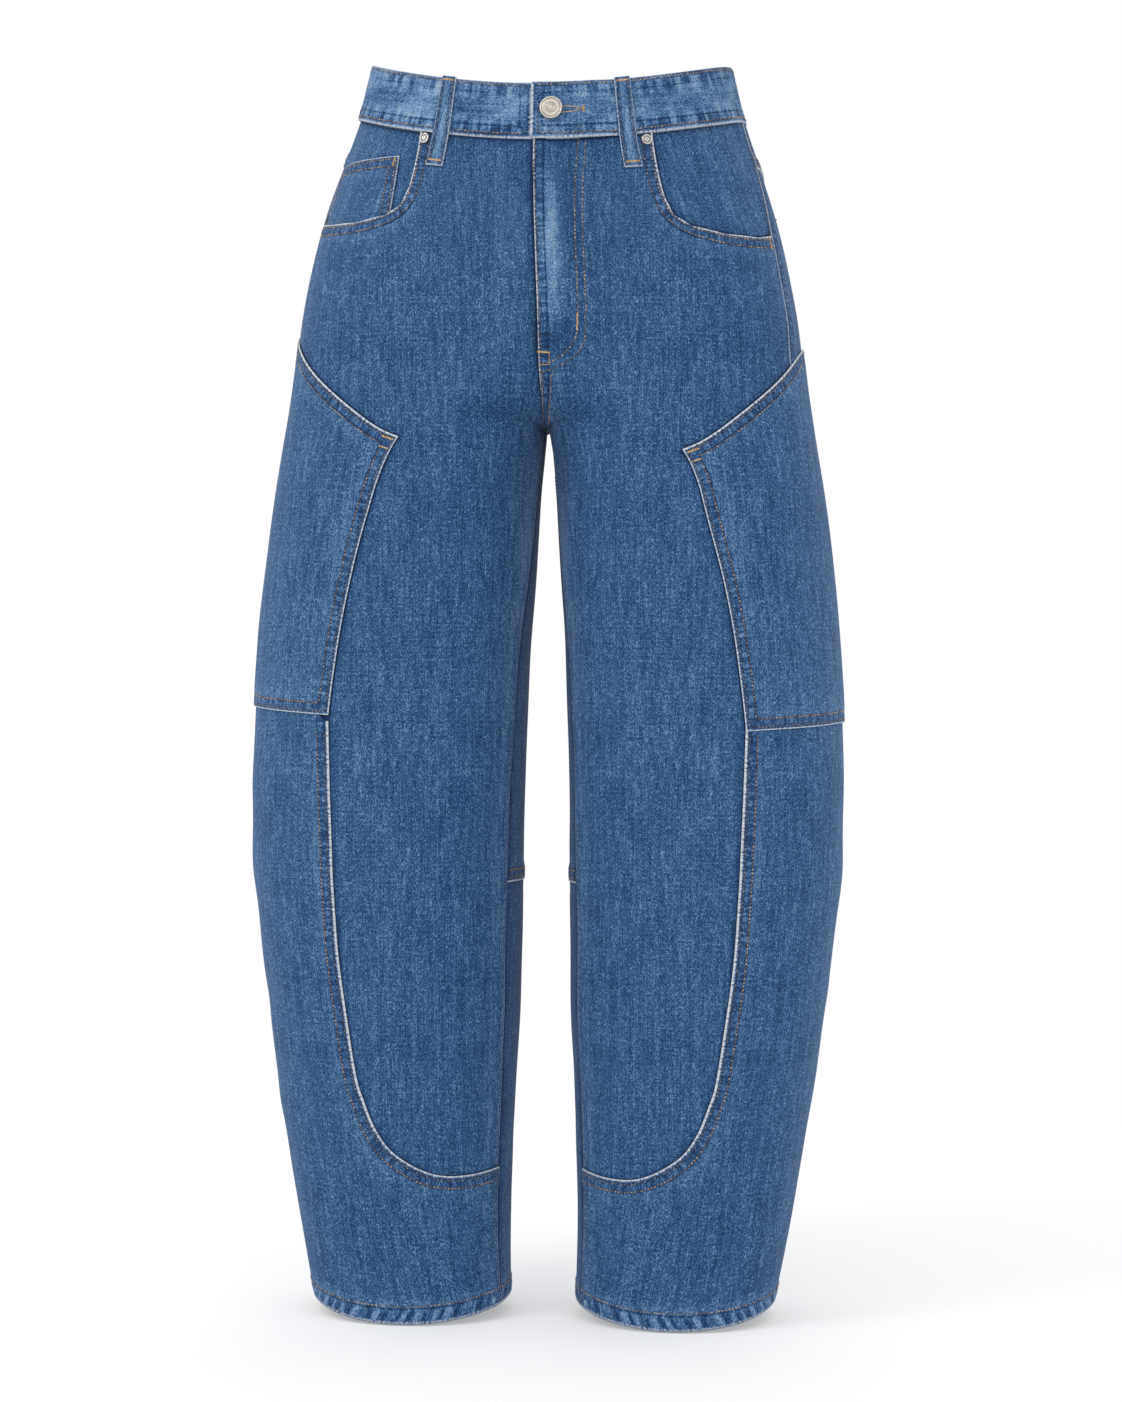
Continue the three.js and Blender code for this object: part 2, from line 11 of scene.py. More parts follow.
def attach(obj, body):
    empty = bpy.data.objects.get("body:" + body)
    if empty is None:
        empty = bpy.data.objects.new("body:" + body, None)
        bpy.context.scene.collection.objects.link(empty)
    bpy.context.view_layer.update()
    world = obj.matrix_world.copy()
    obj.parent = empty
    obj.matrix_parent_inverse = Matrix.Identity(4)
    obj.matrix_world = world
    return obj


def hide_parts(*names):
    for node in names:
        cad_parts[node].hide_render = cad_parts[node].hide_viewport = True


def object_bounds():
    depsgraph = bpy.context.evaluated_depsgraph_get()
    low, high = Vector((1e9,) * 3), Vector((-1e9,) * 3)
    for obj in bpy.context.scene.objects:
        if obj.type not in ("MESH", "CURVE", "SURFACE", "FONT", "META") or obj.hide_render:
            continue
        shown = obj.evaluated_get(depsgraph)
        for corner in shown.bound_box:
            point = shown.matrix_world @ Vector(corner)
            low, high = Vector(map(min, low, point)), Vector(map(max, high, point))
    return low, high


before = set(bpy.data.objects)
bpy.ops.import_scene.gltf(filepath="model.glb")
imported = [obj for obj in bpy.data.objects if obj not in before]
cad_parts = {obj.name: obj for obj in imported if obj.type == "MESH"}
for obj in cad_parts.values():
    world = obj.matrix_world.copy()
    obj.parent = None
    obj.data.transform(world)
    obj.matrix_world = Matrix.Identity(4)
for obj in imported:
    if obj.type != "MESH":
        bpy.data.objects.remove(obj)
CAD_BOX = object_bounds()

SIDES = ("left", "right")
CLOTH = 1.2
BAND = 2.2
LOOP = 1.8
LAP = 0.5
PATCH_LAP = 0.9
SEAM = 0.3

BAND_TOP = 22
BAND_BOTTOM = -21
PANEL_TOP = -21.5
RISE_TOP = -222
CROWDED = -254
CROTCH = -267
APEX = -440
PANEL_CORNER = -492
PATCH_END = -502
BACK_LEVEL = -530
KNEE = -627
U_END = -852.5
HEM = -958

SECTION_COLUMNS = ("height", "outer", "gap", "front", "back", "full")
SECTIONS = (
    (22, 143.6, 0, 97, 95, 2.15),
    (-21, 154.4, 0, 101, 101, 2.2),
    (-60, 167.2, 0, 104, 112, 2.3),
    (-100, 179.6, 0, 106, 123, 2.35),
    (-140, 188.9, 0, 107, 131, 2.4),
    (-188, 197.6, 0, 107, 134, 2.4),
    (-230, 202.2, 0, 105, 130, 2.35),
    (-267, 207.7, 4.2, 102, 121, 2.25),
    (-320, 216.8, 7.5, 100, 110, 2.15),
    (-380, 224.5, 10.6, 100, 103, 2.1),
    (-440, 230.5, 14.8, 101, 99, 2.1),
    (-500, 234.0, 17.2, 102, 97, 2.1),
    (-555, 235.6, 18.8, 102, 97, 2.1),
    (-610, 234.1, 19.4, 100, 97, 2.1),
    (-660, 229.8, 20.0, 97, 96, 2.1),
    (-720, 223.0, 20.9, 91, 93, 2.1),
    (-780, 215.1, 24.0, 84, 88, 2.1),
    (-840, 205.5, 26.4, 77, 82, 2.1),
    (-900, 195.4, 27.8, 71, 75, 2.1),
    (-958, 184.0, 26.7, 66, 69, 2.1),
)
FRONT_RISE = {"height": 85, "power": 1, "cleft": 0.35}
BACK_RISE = {"height": 150, "power": 1.25, "cleft": 0.8}
PARTING = {"start": -40, "end": -330}
GAP_SETTLES = -350
WAIST_DIP = {"front": -33, "back": 8, "power": 1.6, "fade": -150}
HEM_DROP = {"front": 14, "back": 9, "power": 1.5, "start": -780}
TWIST = {"turn": -3, "tilt": 0.0276, "drop": 1.6, "top": -60, "foot": -250}

INSEAM = (
    (-267, -90), (-307, -83), (-350, -78.5), (-385, -76), (-430, -72), (-520, -68), (-610, -66),
    (-675, -64.5), (-790, -65.5), (-848, -65), (-892, -65), (-958, -67),
)
SIDE_SEAM = ((-21, 81), (-60, 78), (-115, 70), (-182, 66), (-223, 63), (-440, 60))
SIDE_SEAM_TURN = {"left": 0, "right": 8}
BACK_SEAM = ((-492, 126), (-627, 125), (-780, 122), (-958, 118))
PATCH_FRONT = ((-288, 4.5), (-297, 5.6), (-335, 7.9), (-387, 12.6), (-433, 15.3), (-502, 18.4))
PATCH_BACK = ((-244, 127), (-340, 127), (-496, 126))
U_SIDE = (
    (18.8, -502), (17.4, -543), (16.6, -585), (16.3, -633), (16.1, -684), (14.5, -730),
    (11.9, -777), (9.4, -795), (5.2, -816),
)
U_FOOT = (
    (5.2, -816), (-1, -832), (-10, -843), (-20, -850.5), (-30, -854), (-45, -854.5), (-65, -852.5),
)
SCOOP = (
    (34.5, -21.5), (33.5, -50), (32.5, -80), (32.8, -100), (36.5, -111), (46, -117), (60, -117),
)
SCOOP_CORNER = 4  # where the mouth turns from going down to going out
SCOOP_END = -113
SCOOP_DROP = {"left": -3, "right": 5.5}
PATCH_TOP = (
    (4.5, -288), (12, -283), (21, -273.5), (35, -255.5), (54, -230), (65, -215), (76, -204),
    (92, -197), (108, -218), (127, -244),
)
PATCH_FOOT = ((18.4, -502), (76, -495.5), (126, -496))
PATCH_DROP = {"left": -5, "right": 5}
YOKE = {"side": -58, "middle": -95}
COIN_POCKET = {"top": ((40, -44), (76, -61)), "foot": ((34, -121), (75, -117))}
FACING = {"front": 27, "foot": -129}
FLY_SHIELD = {"under": 4, "over": 8, "top": -23, "foot": -196}
BACK_POCKET = {"top": ((101, -80), (149, -97)), "foot": ((105, -200), (126, -223), (146, -209))}
LOOP_SIZE = {"width": 12.5, "top": 23, "foot": -51, "settle": 0.4, "settles": (-45, -26)}
LOOPS = {"front": 27, "back": 132, "centre_back": 180}
BAND_LAP = {"end": -0.5, "under": 373, "ease": (16, 27)}
BUTTON = {"angle": 5.5, "height": 1}
RIVET = {"angle": 32.4, "height": -27}
MIRROR = (-1, 1, 1)
LEG_RADIUS = 105

# Each crease is a soft ridge (or a trough, where its depth is negative) from one place to another.
CREASE_COLUMNS = ("angle", "height", "to_angle", "to_height", "depth", "width")
FOLDS = (
    (-78, -283, -38, -258, 3.0, 13),
    (-70, -318, -34, -300, -2.0, 15),
    (196, -240, 160, -262, -4.0, 18),
    (232, -292, 172, -300, 3.5, 18),
    (250, -560, 196, -592, 3.0, 20),
    (160, -650, 226, -664, -3.0, 20),
    (60, -600, 110, -640, 1.6, 24),
)
CREASES = {
    "both": (
        (-4, -196, 18, -188, 0.8, 9),
        (-6, -214, 24, -222, -0.9, 10),
        (-30, -246, 12, -236, 0.9, 10),
        (-60, -300, -28, -280, -0.8, 8),
        (-64, -352, -22, -330, 1.0, 12),
        (-62, -420, -34, -470, 0.7, 12),
        (-48, -640, -14, -655, 0.7, 14),
        (-58, -700, -26, -690, -0.7, 14),
        (-40, -900, 10, -906, 0.8, 13),
        (20, -918, 70, -908, -0.8, 13),
        (40, -560, 76, -546, 0.7, 16),
        (150, -300, 126, -322, 1.6, 10),
        (190, -318, 150, -338, -1.6, 12),
        (246, -330, 200, -318, 1.4, 11),
        (240, -372, 196, -352, -1.2, 12),
        (206, -545, 148, -560, -1.8, 13),
        (246, -608, 200, -612, -1.4, 10),
        (190, -640, 140, -632, 1.8, 11),
        (232, -690, 176, -700, 1.6, 13),
        (196, -742, 150, -724, -1.2, 14),
        (236, -880, 180, -892, 1.2, 14),
        (150, -905, 200, -922, -1.0, 12),
        (176, -150, 160, -205, -1.0, 10),
        (120, -232, 156, -216, 1.0, 10),
    ),
    "left": (
        (-30, -268, 8, -255, 0.6, 7),
        (24, -330, 46, -372, 0.6, 14),
        (-52, -500, -24, -540, 0.6, 12),
        (50, -700, 90, -716, 0.9, 16),
        (88, -820, 40, -836, -0.8, 15),
        (-10, -760, 6, -700, 0.5, 12),
    ),
    "right": (
        (-66, -262, -20, -252, 1.6, 8),
        (-58, -274, -14, -266, -1.3, 8),
        (16, -300, 40, -352, -0.6, 14),
        (-50, -560, -20, -580, 0.6, 12),
        (46, -730, 92, -720, -0.9, 16),
        (90, -800, 52, -812, 0.8, 15),
    ),
}


def smooth(x, low, high):
    t = np.clip((x - low) / (high - low), 0, 1)
    return t * t * (3 - 2 * t)


def named_rows(columns, rows):
    """A table's rows as dictionaries."""
    return [dict(zip(columns, row)) for row in rows]


def curve(rows):
    """Monotone cubic through the rows, so that no curve swings past its own values."""
    x, y = np.array(sorted(rows), float).T
    slopes = np.diff(y) / np.diff(x)
    product = slopes[:-1] * slopes[1:]
    total = slopes[:-1] + slopes[1:]
    between = np.where(product > 0, 2 * product / np.where(total == 0, 1, total), 0)
    tangents = np.concatenate([slopes[:1], between, slopes[-1:]])

    def value(at):
        at = np.asarray(at, float)
        i = np.clip(np.searchsorted(x, at, side="right") - 1, 0, len(x) - 2)
        width = x[i + 1] - x[i]
        t = (at - x[i]) / width
        t2, t3 = t * t, t * t * t
        start = y[i] * (2 * t3 - 3 * t2 + 1) + width * tangents[i] * (t3 - 2 * t2 + t)
        return start + y[i + 1] * (3 * t2 - 2 * t3) + width * tangents[i + 1] * (t3 - t2)

    return value


SHAPE = {
    name: curve([(row[0], row[i]) for row in SECTIONS])
    for i, name in enumerate(SECTION_COLUMNS) if i
}
inseam = curve(INSEAM)
side_seam_table = curve(SIDE_SEAM)
back_seam = curve(BACK_SEAM)
patch_front = curve(PATCH_FRONT)
patch_back = curve(PATCH_BACK)


def side_seam(side):
    return lambda height: side_seam_table(height) + SIDE_SEAM_TURN[side]


def leg_gap(height):
    whole = np.where(height > CROTCH, 0, SHAPE["gap"](height))
    return whole, whole * (1 - smooth(height, GAP_SETTLES, CROTCH))


def middle(height):
    parted = 1 - smooth(height, PARTING["end"], PARTING["start"])
    return (SHAPE["outer"](height) * parted + leg_gap(height)[1]) / 2


def inner_side(height, rise):
    """The inner side of a half: its full half-width, and how much of that reaches the middle."""
    centre = middle(height)
    outer = SHAPE["outer"](height)
    closed = np.clip((CROTCH + rise["height"] - height) / rise["height"], 0, 1) ** rise["power"]
    cleft = rise["cleft"] * centre / outer
    share = np.sqrt(cleft**2 + (1 - cleft**2) * closed**2)
    joined = centre < 0.001
    wide = np.where(joined, outer, centre / np.where(joined, 1, share))
    low = height <= CROTCH
    wide = np.where(low, centre - leg_gap(height)[1], wide)
    return wide, np.where(low, 1, np.where(joined, 0, share))


def middle_angle(height, rise):
    share = inner_side(height, rise)[1]
    full = SHAPE["full"](height)
    return np.degrees(np.arctan2(share, np.maximum(1 - share**full, 0) ** (1 / full)))


def front_edge(height):
    return np.where(height > CROTCH, -middle_angle(height, FRONT_RISE), inseam(height))


def back_edge(height):
    return np.where(height > CROTCH, 180 + middle_angle(height, BACK_RISE), inseam(height) + 360)


def dip(angle, height):
    cosine = np.cos(np.radians(angle))
    ahead = cosine > 0
    size = np.abs(cosine)
    waist = np.where(ahead, WAIST_DIP["front"] * size ** WAIST_DIP["power"],
                     WAIST_DIP["back"] * size**2)
    hem = np.where(ahead, HEM_DROP["front"], HEM_DROP["back"]) * size ** HEM_DROP["power"]
    low = np.clip((HEM_DROP["start"] - height) / (HEM_DROP["start"] - HEM), 0, 1) ** 2
    return waist * smooth(height, WAIST_DIP["fade"], BAND_BOTTOM) - hem * low


def crease_depth(table, angle, height):
    reach = math.radians(1) * LEG_RADIUS
    total = np.zeros(np.shape(angle))
    for crease in named_rows(CREASE_COLUMNS, table):
        run = (crease["to_angle"] - crease["angle"]) * reach
        fall = crease["to_height"] - crease["height"]
        length = math.hypot(run, fall)
        across = (angle - crease["angle"]) * reach
        down_by = height - crease["height"]
        t = (across * run + down_by * fall) / length**2
        off = (across * fall - down_by * run) / length
        ends = np.exp(-((2 * (t - 0.5)) ** 4))
        total = total + crease["depth"] * ends * np.exp(-((off / crease["width"]) ** 2))
    return total


def surface(angle, height):
    """Places in the middle of the cloth on the wearer's left half, before the waist's turn."""
    sine, cosine = np.sin(np.radians(angle)), np.cos(np.radians(angle))
    ahead = cosine > 0
    centre = middle(height)
    inner = np.where(ahead, inner_side(height, FRONT_RISE)[0], inner_side(height, BACK_RISE)[0])
    wide = np.where(sine > 0, SHAPE["outer"](height) - centre, inner)
    deep = np.where(ahead, SHAPE["front"](height), SHAPE["back"](height))
    full = SHAPE["full"](height)
    reach = (np.abs(sine) ** full + np.abs(cosine) ** full) ** (-1 / full)
    fold = crease_depth(FOLDS, angle, height)
    whole, settled = leg_gap(height)
    x = centre + (wide + fold) * reach * sine + (whole - settled) * np.maximum(-sine, 0) ** 8
    y = -(deep + fold) * reach * cosine
    return np.stack([x, y, height + dip(angle, height)], -1)


def unit(vectors):
    return vectors / np.maximum(np.linalg.norm(vectors, axis=-1, keepdims=True), 1e-9)


def on_half(angle, height):
    """Places and outward directions on the left half."""
    step = 0.5
    around = surface(angle + step, height) - surface(angle - step, height)
    down_by = surface(angle, height - step) - surface(angle, height + step)
    return surface(angle, height), unit(np.cross(down_by, around))


def on_ring(angle, height):
    """Places and outward directions round the whole waist, where both halves make one ring."""
    turn = np.mod(angle, 360)
    mirrored = turn > 180
    place, normal = on_half(np.where(mirrored, 360 - turn, turn), height)
    flip = np.where(mirrored[..., None], MIRROR, (1, 1, 1))
    return place * flip, normal * flip


def on_shield(across, height):
    """Places behind both fronts: each column follows the half that it is on."""
    place, normal = on_half(front_edge(height) + np.abs(across), height)
    flip = np.where((across < 0)[..., None], MIRROR, (1, 1, 1))
    return place * flip, normal * flip


def turned(vectors, heights):
    """Directions, turned as the waist is on the legs."""
    turn = np.radians(TWIST["turn"] * smooth(heights, TWIST["foot"], TWIST["top"]))
    x, y, z = vectors[..., 0], vectors[..., 1], vectors[..., 2]
    cosine, sine = np.cos(turn), np.sin(turn)
    return np.stack([x * cosine - y * sine, x * sine + y * cosine, z], -1)


def twisted(places, heights):
    """Places, turned and tilted as the waist is on the legs."""
    placed = turned(places, heights)
    fade = smooth(heights, TWIST["foot"], TWIST["top"])
    placed[..., 2] -= (TWIST["tilt"] * placed[..., 0] + TWIST["drop"]) * fade
    return placed


def across_table():
    """Millimetres round the cloth from straight ahead, by angle and height."""
    angles = np.arange(-120.0, 301, 2)
    heights = np.arange(-964.0, 30, 6)
    a, h = np.meshgrid(angles, heights)
    steps_round = np.linalg.norm(np.diff(surface(a, h), axis=1), axis=-1)
    total = np.concatenate([np.zeros((len(heights), 1)), np.cumsum(steps_round, 1)], 1)
    ahead = np.argmin(np.abs(angles))
    return angles, heights, total - total[:, ahead:ahead + 1]


ANGLES, HEIGHTS, ACROSS = across_table()


def across_cloth(angle, height):
    i = np.clip((angle - ANGLES[0]) / 2, 0, len(ANGLES) - 1.001)
    j = np.clip((height - HEIGHTS[0]) / 6, 0, len(HEIGHTS) - 1.001)
    i0, j0 = i.astype(int), j.astype(int)
    u, v = i - i0, j - j0
    low = ACROSS[j0, i0] * (1 - u) + ACROSS[j0, i0 + 1] * u
    high = ACROSS[j0 + 1, i0] * (1 - u) + ACROSS[j0 + 1, i0 + 1] * u
    return low * (1 - v) + high * v


# Grids of angle and height, with closer columns and rows beside the edges that show.
PITCH = 4.0
PER_DEGREE = 1.8  # millimetres round a leg
NEAR_EDGE = np.array([0.7, 1.5, 2.6, 4.2, 6.2, 8.4, 10.4, 13])


def graded(length, start=False, end=False, pitch=PITCH):
    """Shares from 0 to 1 along so many millimetres, with closer ones beside the ends named."""
    head = NEAR_EDGE if start else np.array([])
    tail = length - NEAR_EDGE[::-1] if end else np.array([])
    low = head[-1] if start else 0
    high = tail[0] if end else length
    count = max(int(round((high - low) / pitch)), 1)
    inner = np.linspace(low, high, count + 1)
    head = np.concatenate([[0], head[:-1]]) if start else head
    tail = np.concatenate([tail[1:], [length]]) if end else tail
    return np.concatenate([head, inner, tail]) / length


def along(points, shares):
    """Points at shares of a chain's length."""
    points = np.array(points, float)
    lengths = np.hypot(np.diff(points[:, 0]) * PER_DEGREE, np.diff(points[:, 1]))
    total = np.concatenate([[0], np.cumsum(lengths)])
    at = np.asarray(shares) * total[-1]
    return np.stack([np.interp(at, total, points[:, 0]), np.interp(at, total, points[:, 1])], -1)


def corners_cut(points):
    near = points[:-1] * 0.75 + points[1:] * 0.25
    far = points[:-1] * 0.25 + points[1:] * 0.75
    return np.stack([near, far], 1).reshape(-1, points.shape[1])


def rounded(points, shares, passes=3):
    """As along, with the chain's corners rounded off."""
    points = np.array(points, float)
    for _ in range(passes):
        points = np.concatenate([points[:1], corners_cut(points)[1:-1], points[-1:]])
    return along(points, shares)


U_STEPS = 12


def through(points):
    """A smooth curve that passes through all the points."""
    points = np.array(points, float)
    padded = np.concatenate([[2 * points[0] - points[1]], points, [2 * points[-1] - points[-2]]])
    t = np.linspace(0, 1, U_STEPS, endpoint=False)[None, :, None]
    a, b, c, d = (padded[i:len(padded) - 3 + i, None] for i in range(4))
    squared, cubed = 2 * a - 5 * b + 4 * c - d, 3 * b - a - 3 * c + d
    arc = 0.5 * (2 * b + (c - a) * t + squared * t**2 + cubed * t**3)
    return np.concatenate([arc.reshape(-1, 2), points[-1:]])


U_LINE = through(U_SIDE + U_FOOT[1:])
TURN = (len(U_SIDE) - 1) * U_STEPS  # where its side ends and its foot begins
U_SIDE_LINE, U_FOOT_LINE = U_LINE[:TURN + 1], U_LINE[TURN:]


def down(angle_at, top, foot, shares):
    height = top + (foot - top) * np.asarray(shares)
    angle = angle_at(height) if callable(angle_at) else np.full(len(height), float(angle_at))
    return np.stack([angle, height], -1)


def spot(edge, height):
    """The place on an edge at a height, as angle and height."""
    return float(edge(np.array(float(height)))), height


def straight(start, end, shares):
    shares = np.asarray(shares)[:, None]
    return np.asarray(start) * (1 - shares) + np.asarray(end) * shares


def ruled(start, end, columns):
    u = np.asarray(columns)[None, :, None]
    return start[:, None] * (1 - u) + end[:, None] * u


def framed(start, end, top, foot, columns, rows):
    u = np.asarray(columns)[None, :, None]
    v = np.asarray(rows)[:, None, None]
    sides = start[:, None] * (1 - u) + end[:, None] * u
    ends = top[None] * (1 - v) + foot[None] * v
    corners = (start[0] * (1 - u) + end[0] * u) * (1 - v) + (start[-1] * (1 - u) + end[-1] * u) * v
    return sides + ends - corners


def closing(fixed, moving, columns):
    """Rows beside the crotch, where one edge swings in to the inseam. The columns keep those of the
    thigh below, and only the ones beside that edge crowd together."""
    height = fixed[:, 1:]
    crowded = np.clip((RISE_TOP - height) / (RISE_TOP - CROWDED), 0, 1)
    u = np.asarray(columns)[None]
    share = u * (1 - crowded) + u**3 * crowded
    angle = fixed[:, :1] * (1 - u) + moving[-1, 0] * u + (moving[:, :1] - moving[-1, 0]) * share
    return np.stack([angle, np.broadcast_to(height, angle.shape)], -1)


def joined(one, other, share):
    """Two lists of shares as one, the first up to the share given."""
    return np.concatenate([np.asarray(one) * share, share + np.asarray(other)[1:] * (1 - share)])


def stitched(grids):
    """Shared points and the four-sided faces between them."""
    points, faces, first = [], [], 0
    for grid in grids:
        rows, columns = grid.shape[:2]
        index = np.arange(rows * columns).reshape(rows, columns) + first
        a, b, c, d = index[:-1, :-1], index[:-1, 1:], index[1:, 1:], index[1:, :-1]
        faces.append(np.stack([a, d, c, b], -1).reshape(-1, 4))
        points.append(grid.reshape(-1, 2))
        first += rows * columns
    points = np.concatenate(points)
    keys = np.round(points, 2)
    _, index, back = np.unique(keys, axis=0, return_index=True, return_inverse=True)
    return points[index], back.reshape(-1)[np.concatenate(faces)]


def open_edges(faces, count):
    one, other = faces.reshape(-1), np.roll(faces, -1, axis=1).reshape(-1)
    lone = ~np.isin(one * count + other, other * count + one)
    return np.stack([one[lone], other[lone]], -1)


LINE = {"lift": 0.0, "reach": 0.0, "wear": 0.0, "hem": False, "broad": 1.0, "pucker": 1.0,
        "shade": 0.0, "edge": True}


def line(points, **looks):
    """A line on a panel: an edge or a seam. lift is how far its band of folded cloth stands up,
    reach is how far it passes over the neighbour, wear is how white its fold is and broad how wide
    that white is, pucker is how much the cloth gathers, shade is how wide a shadow lies beside it,
    a hem is a wider band, and edge is False where another piece lies over the line."""
    return {**LINE, **looks, "points": np.asarray(points)}


BAND_WIDTH = (9, 14)
HEM_WIDTH = (11.5, 15)
ROWS = {"first": 2.6, "second": 8.8, "hem": 12.4}
# The hem twists into slanted ropes, in millimetres along it.
ROPE = {"slant": 0.5, "pitch": 1.7, "drift": 1.6, "wander": 21}
RIPPLE_TURN = {"left": 0.7, "right": 2.1}
BLOCK = 4000
PAST_END = 3


def run_length(places):
    """How far along a chain each of its places is."""
    return np.concatenate([[0], np.cumsum(np.linalg.norm(np.diff(places, axis=0), axis=1))])


def bell(x, middle, width):
    return np.exp(-(((x - middle) / width) ** 2))


def on_side(vectors, side):
    """The left half's places or directions, mirrored for the right one."""
    return vectors * MIRROR if side == "right" else vectors


def value_at(given, angle, height):
    """A given number, or a given function's values at the places."""
    return given(angle, height) if callable(given) else given


def nearest_index(places, chain):
    best = np.empty(len(places), int)
    for start in range(0, len(places), BLOCK):
        block = places[start:start + BLOCK]
        best[start:start + BLOCK] = ((block[:, None] - chain[None]) ** 2).sum(-1).argmin(1)
    return best


def from_line(one, places):
    """How far each place is from a line, how far along it, and on which side."""
    best = nearest_index(places, one["places"])
    to = places - one["places"][best]
    forward = one["forward"][best]
    ahead = (to * forward).sum(-1)
    inner = (best > 0) & (best < len(one["places"]) - 1)
    aside = to - forward * np.where(inner, ahead, np.clip(ahead, -PAST_END, PAST_END))[:, None]
    return np.linalg.norm(aside, axis=-1), one["run"][best] + ahead, (to * one["aside"][best]).sum(-1)


def hem_rope(apart, run):
    slanted = run + ROPE["slant"] * apart
    rope = np.sin(slanted / ROPE["pitch"] + ROPE["drift"] * np.sin(slanted / ROPE["wander"]))
    return 0.42 * rope * bell(apart, 6.5, 4.5)


class Panel:
    """A piece of cloth: where it lies, and the lines that shape and wear it."""

    def __init__(self, name, grids, lines=(), side="left", out=0.0, thick=CLOTH, locate=on_half,
                 whole=False, grain=0.0, tone=0.0, blotch=0.6, crosswise=False):
        self.name, self.grids, self.side, self.out, self.thick = name, grids, side, out, thick
        self.locate, self.whole, self.grain = locate, whole, grain
        self.tone, self.blotch, self.crosswise = tone, blotch, crosswise
        self.lines = [self.traced(one) for one in lines]

    def traced(self, one):
        """The line with its places, its directions and how far along it each place is."""
        places, normals = self.locate(*one["points"].T)
        forward = unit(np.gradient(places, axis=0))
        aside = np.cross(normals, forward)
        return {**one, "places": places, "forward": forward, "aside": aside, "run": run_length(places)}

    def nearest(self, places):
        return [from_line(one, places) for one in self.lines]

    def waves(self, angle, height):
        """The listed creases, and soft waves over the whole cloth."""
        rise = 0
        if not self.whole:
            both, own = (crease_depth(CREASES[key], angle, height) for key in ("both", self.side))
            rise = both + own
        u, v = across_cloth(angle, height), height
        turn = RIPPLE_TURN[self.side]
        rise = rise + 0.28 * np.sin(u / 23 + v / 61 + turn) * np.sin(v / 37 - u / 90 + turn)
        return rise + 0.12 * np.sin(u / 9 + 1.7 * np.sin(v / 31 + turn)) * np.sin(v / 17 + turn * 2)

    def relief(self, angle, height, found):
        """How far the cloth rises off its plain form."""
        rise = self.waves(angle, height)
        for one, (apart, run, _) in zip(self.lines, found):
            band = 1 - smooth(apart, *(HEM_WIDTH if one["hem"] else BAND_WIDTH))
            rise = rise + one["lift"] * band
            if one["hem"]:
                rise = rise + hem_rope(apart, run)
            elif one["wear"] > 0 and one["pucker"] > 0:
                rows = bell(apart, ROWS["first"], 0.9) + bell(apart, ROWS["second"], 0.9)
                puff = bell(apart, 5.7, 2) * (0.65 + 0.35 * np.sin(run / 1.7))
                rise = rise + 0.22 * puff - 0.16 * rows
        return rise

    def skin(self, points, lift):
        """Places on the outer face and outward directions, in the finished frame."""
        angle, height = np.asarray(points, float).T
        places, normals = self.locate(angle, height)
        rise = self.relief(angle, height, self.nearest(places))
        off = value_at(self.out, angle, height) + rise + self.thick / 2 + lift
        places = places + normals * np.reshape(off, (-1, 1))
        return finished(places, normals, self.side)


def finished(places, normals, side="left"):
    heights = places[:, 2]
    return twisted(on_side(places, side), heights), turned(on_side(normals, side), heights)


def new_piece(name, places, faces, material, uv=None, numbers=None):
    mesh = bpy.data.meshes.new(name)
    mesh.from_pydata((np.asarray(places) / 1000).tolist(), [], faces)
    mesh.polygons.foreach_set("use_smooth", np.ones(len(mesh.polygons), bool))
    if uv is not None:
        corner = np.empty(len(mesh.loops), np.int32)
        mesh.loops.foreach_get("vertex_index", corner)
        layer = mesh.uv_layers.new(name="cloth")
        layer.data.foreach_set("uv", (uv[corner] / 1000).astype(np.float32).ravel())
    for key, values in (numbers or {}).items():
        mesh.attributes.new(key, "FLOAT", "POINT").data.foreach_set("value", values.astype(np.float32))
    mesh.materials.append(material)
    mesh.update()
    piece = bpy.data.objects.new(name, mesh)
    bpy.context.scene.collection.objects.link(piece)
    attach(piece, "root")
    return piece


# Soft patches of light and dark on the cloth: angle, height, reach round and reach down in
# millimetres, and how much lighter.
TONE_COLUMNS = ("angle", "height", "wide", "tall", "lighter")
TONES = {
    "both": (
        # The first two rows lighten the inner thighs: painted light over the shade between the legs.
        (-84, -345, 34, 100, 0.55),
        (-78, -600, 34, 300, 0.40),
        (88, -560, 46, 330, 0.16),
        (88, -120, 40, 90, 0.08),
        (20, -560, 60, 200, 0.03),
        (170, -170, 70, 60, 0.16),
        (190, -600, 60, 60, 0.10),
        (10, -905, 60, 40, -0.04),
    ),
    # The thin dark rows just above the crotch are painted shade where the legs part.
    "left": ((-38, -264, 34, 9, -0.14), (50, -170, 60, 50, -0.03)),
    "right": ((-40, -262, 40, 8, -0.16), (-46, -240, 30, 8, 0.10), (50, -170, 60, 50, -0.03)),
}


# The same on the left front only, with millimetres from the fly's edge in place of the angle.
FLY_TONE_COLUMNS = ("across", "height", "wide", "tall", "lighter")
FLY_TONES = (
    (12, -150, 7, 46, 0.62),
    (14, -100, 6, 40, 0.40),
    (10, -60, 5, 14, 0.30),
    (17, -125, 2.5, 55, 0.25),
    (27, -80, 6, 60, -0.34),
    (28, -160, 5, 40, -0.22),
    (20, -206, 12, 14, -0.42),
    (8, -212, 6, 10, -0.30),
    (44, -190, 7, 40, -0.10),
)


def faded(patch, across, height, power):
    off = (across / patch["wide"]) ** 2 + ((height - patch["height"]) / patch["tall"]) ** power
    return patch["lighter"] * np.exp(-off)


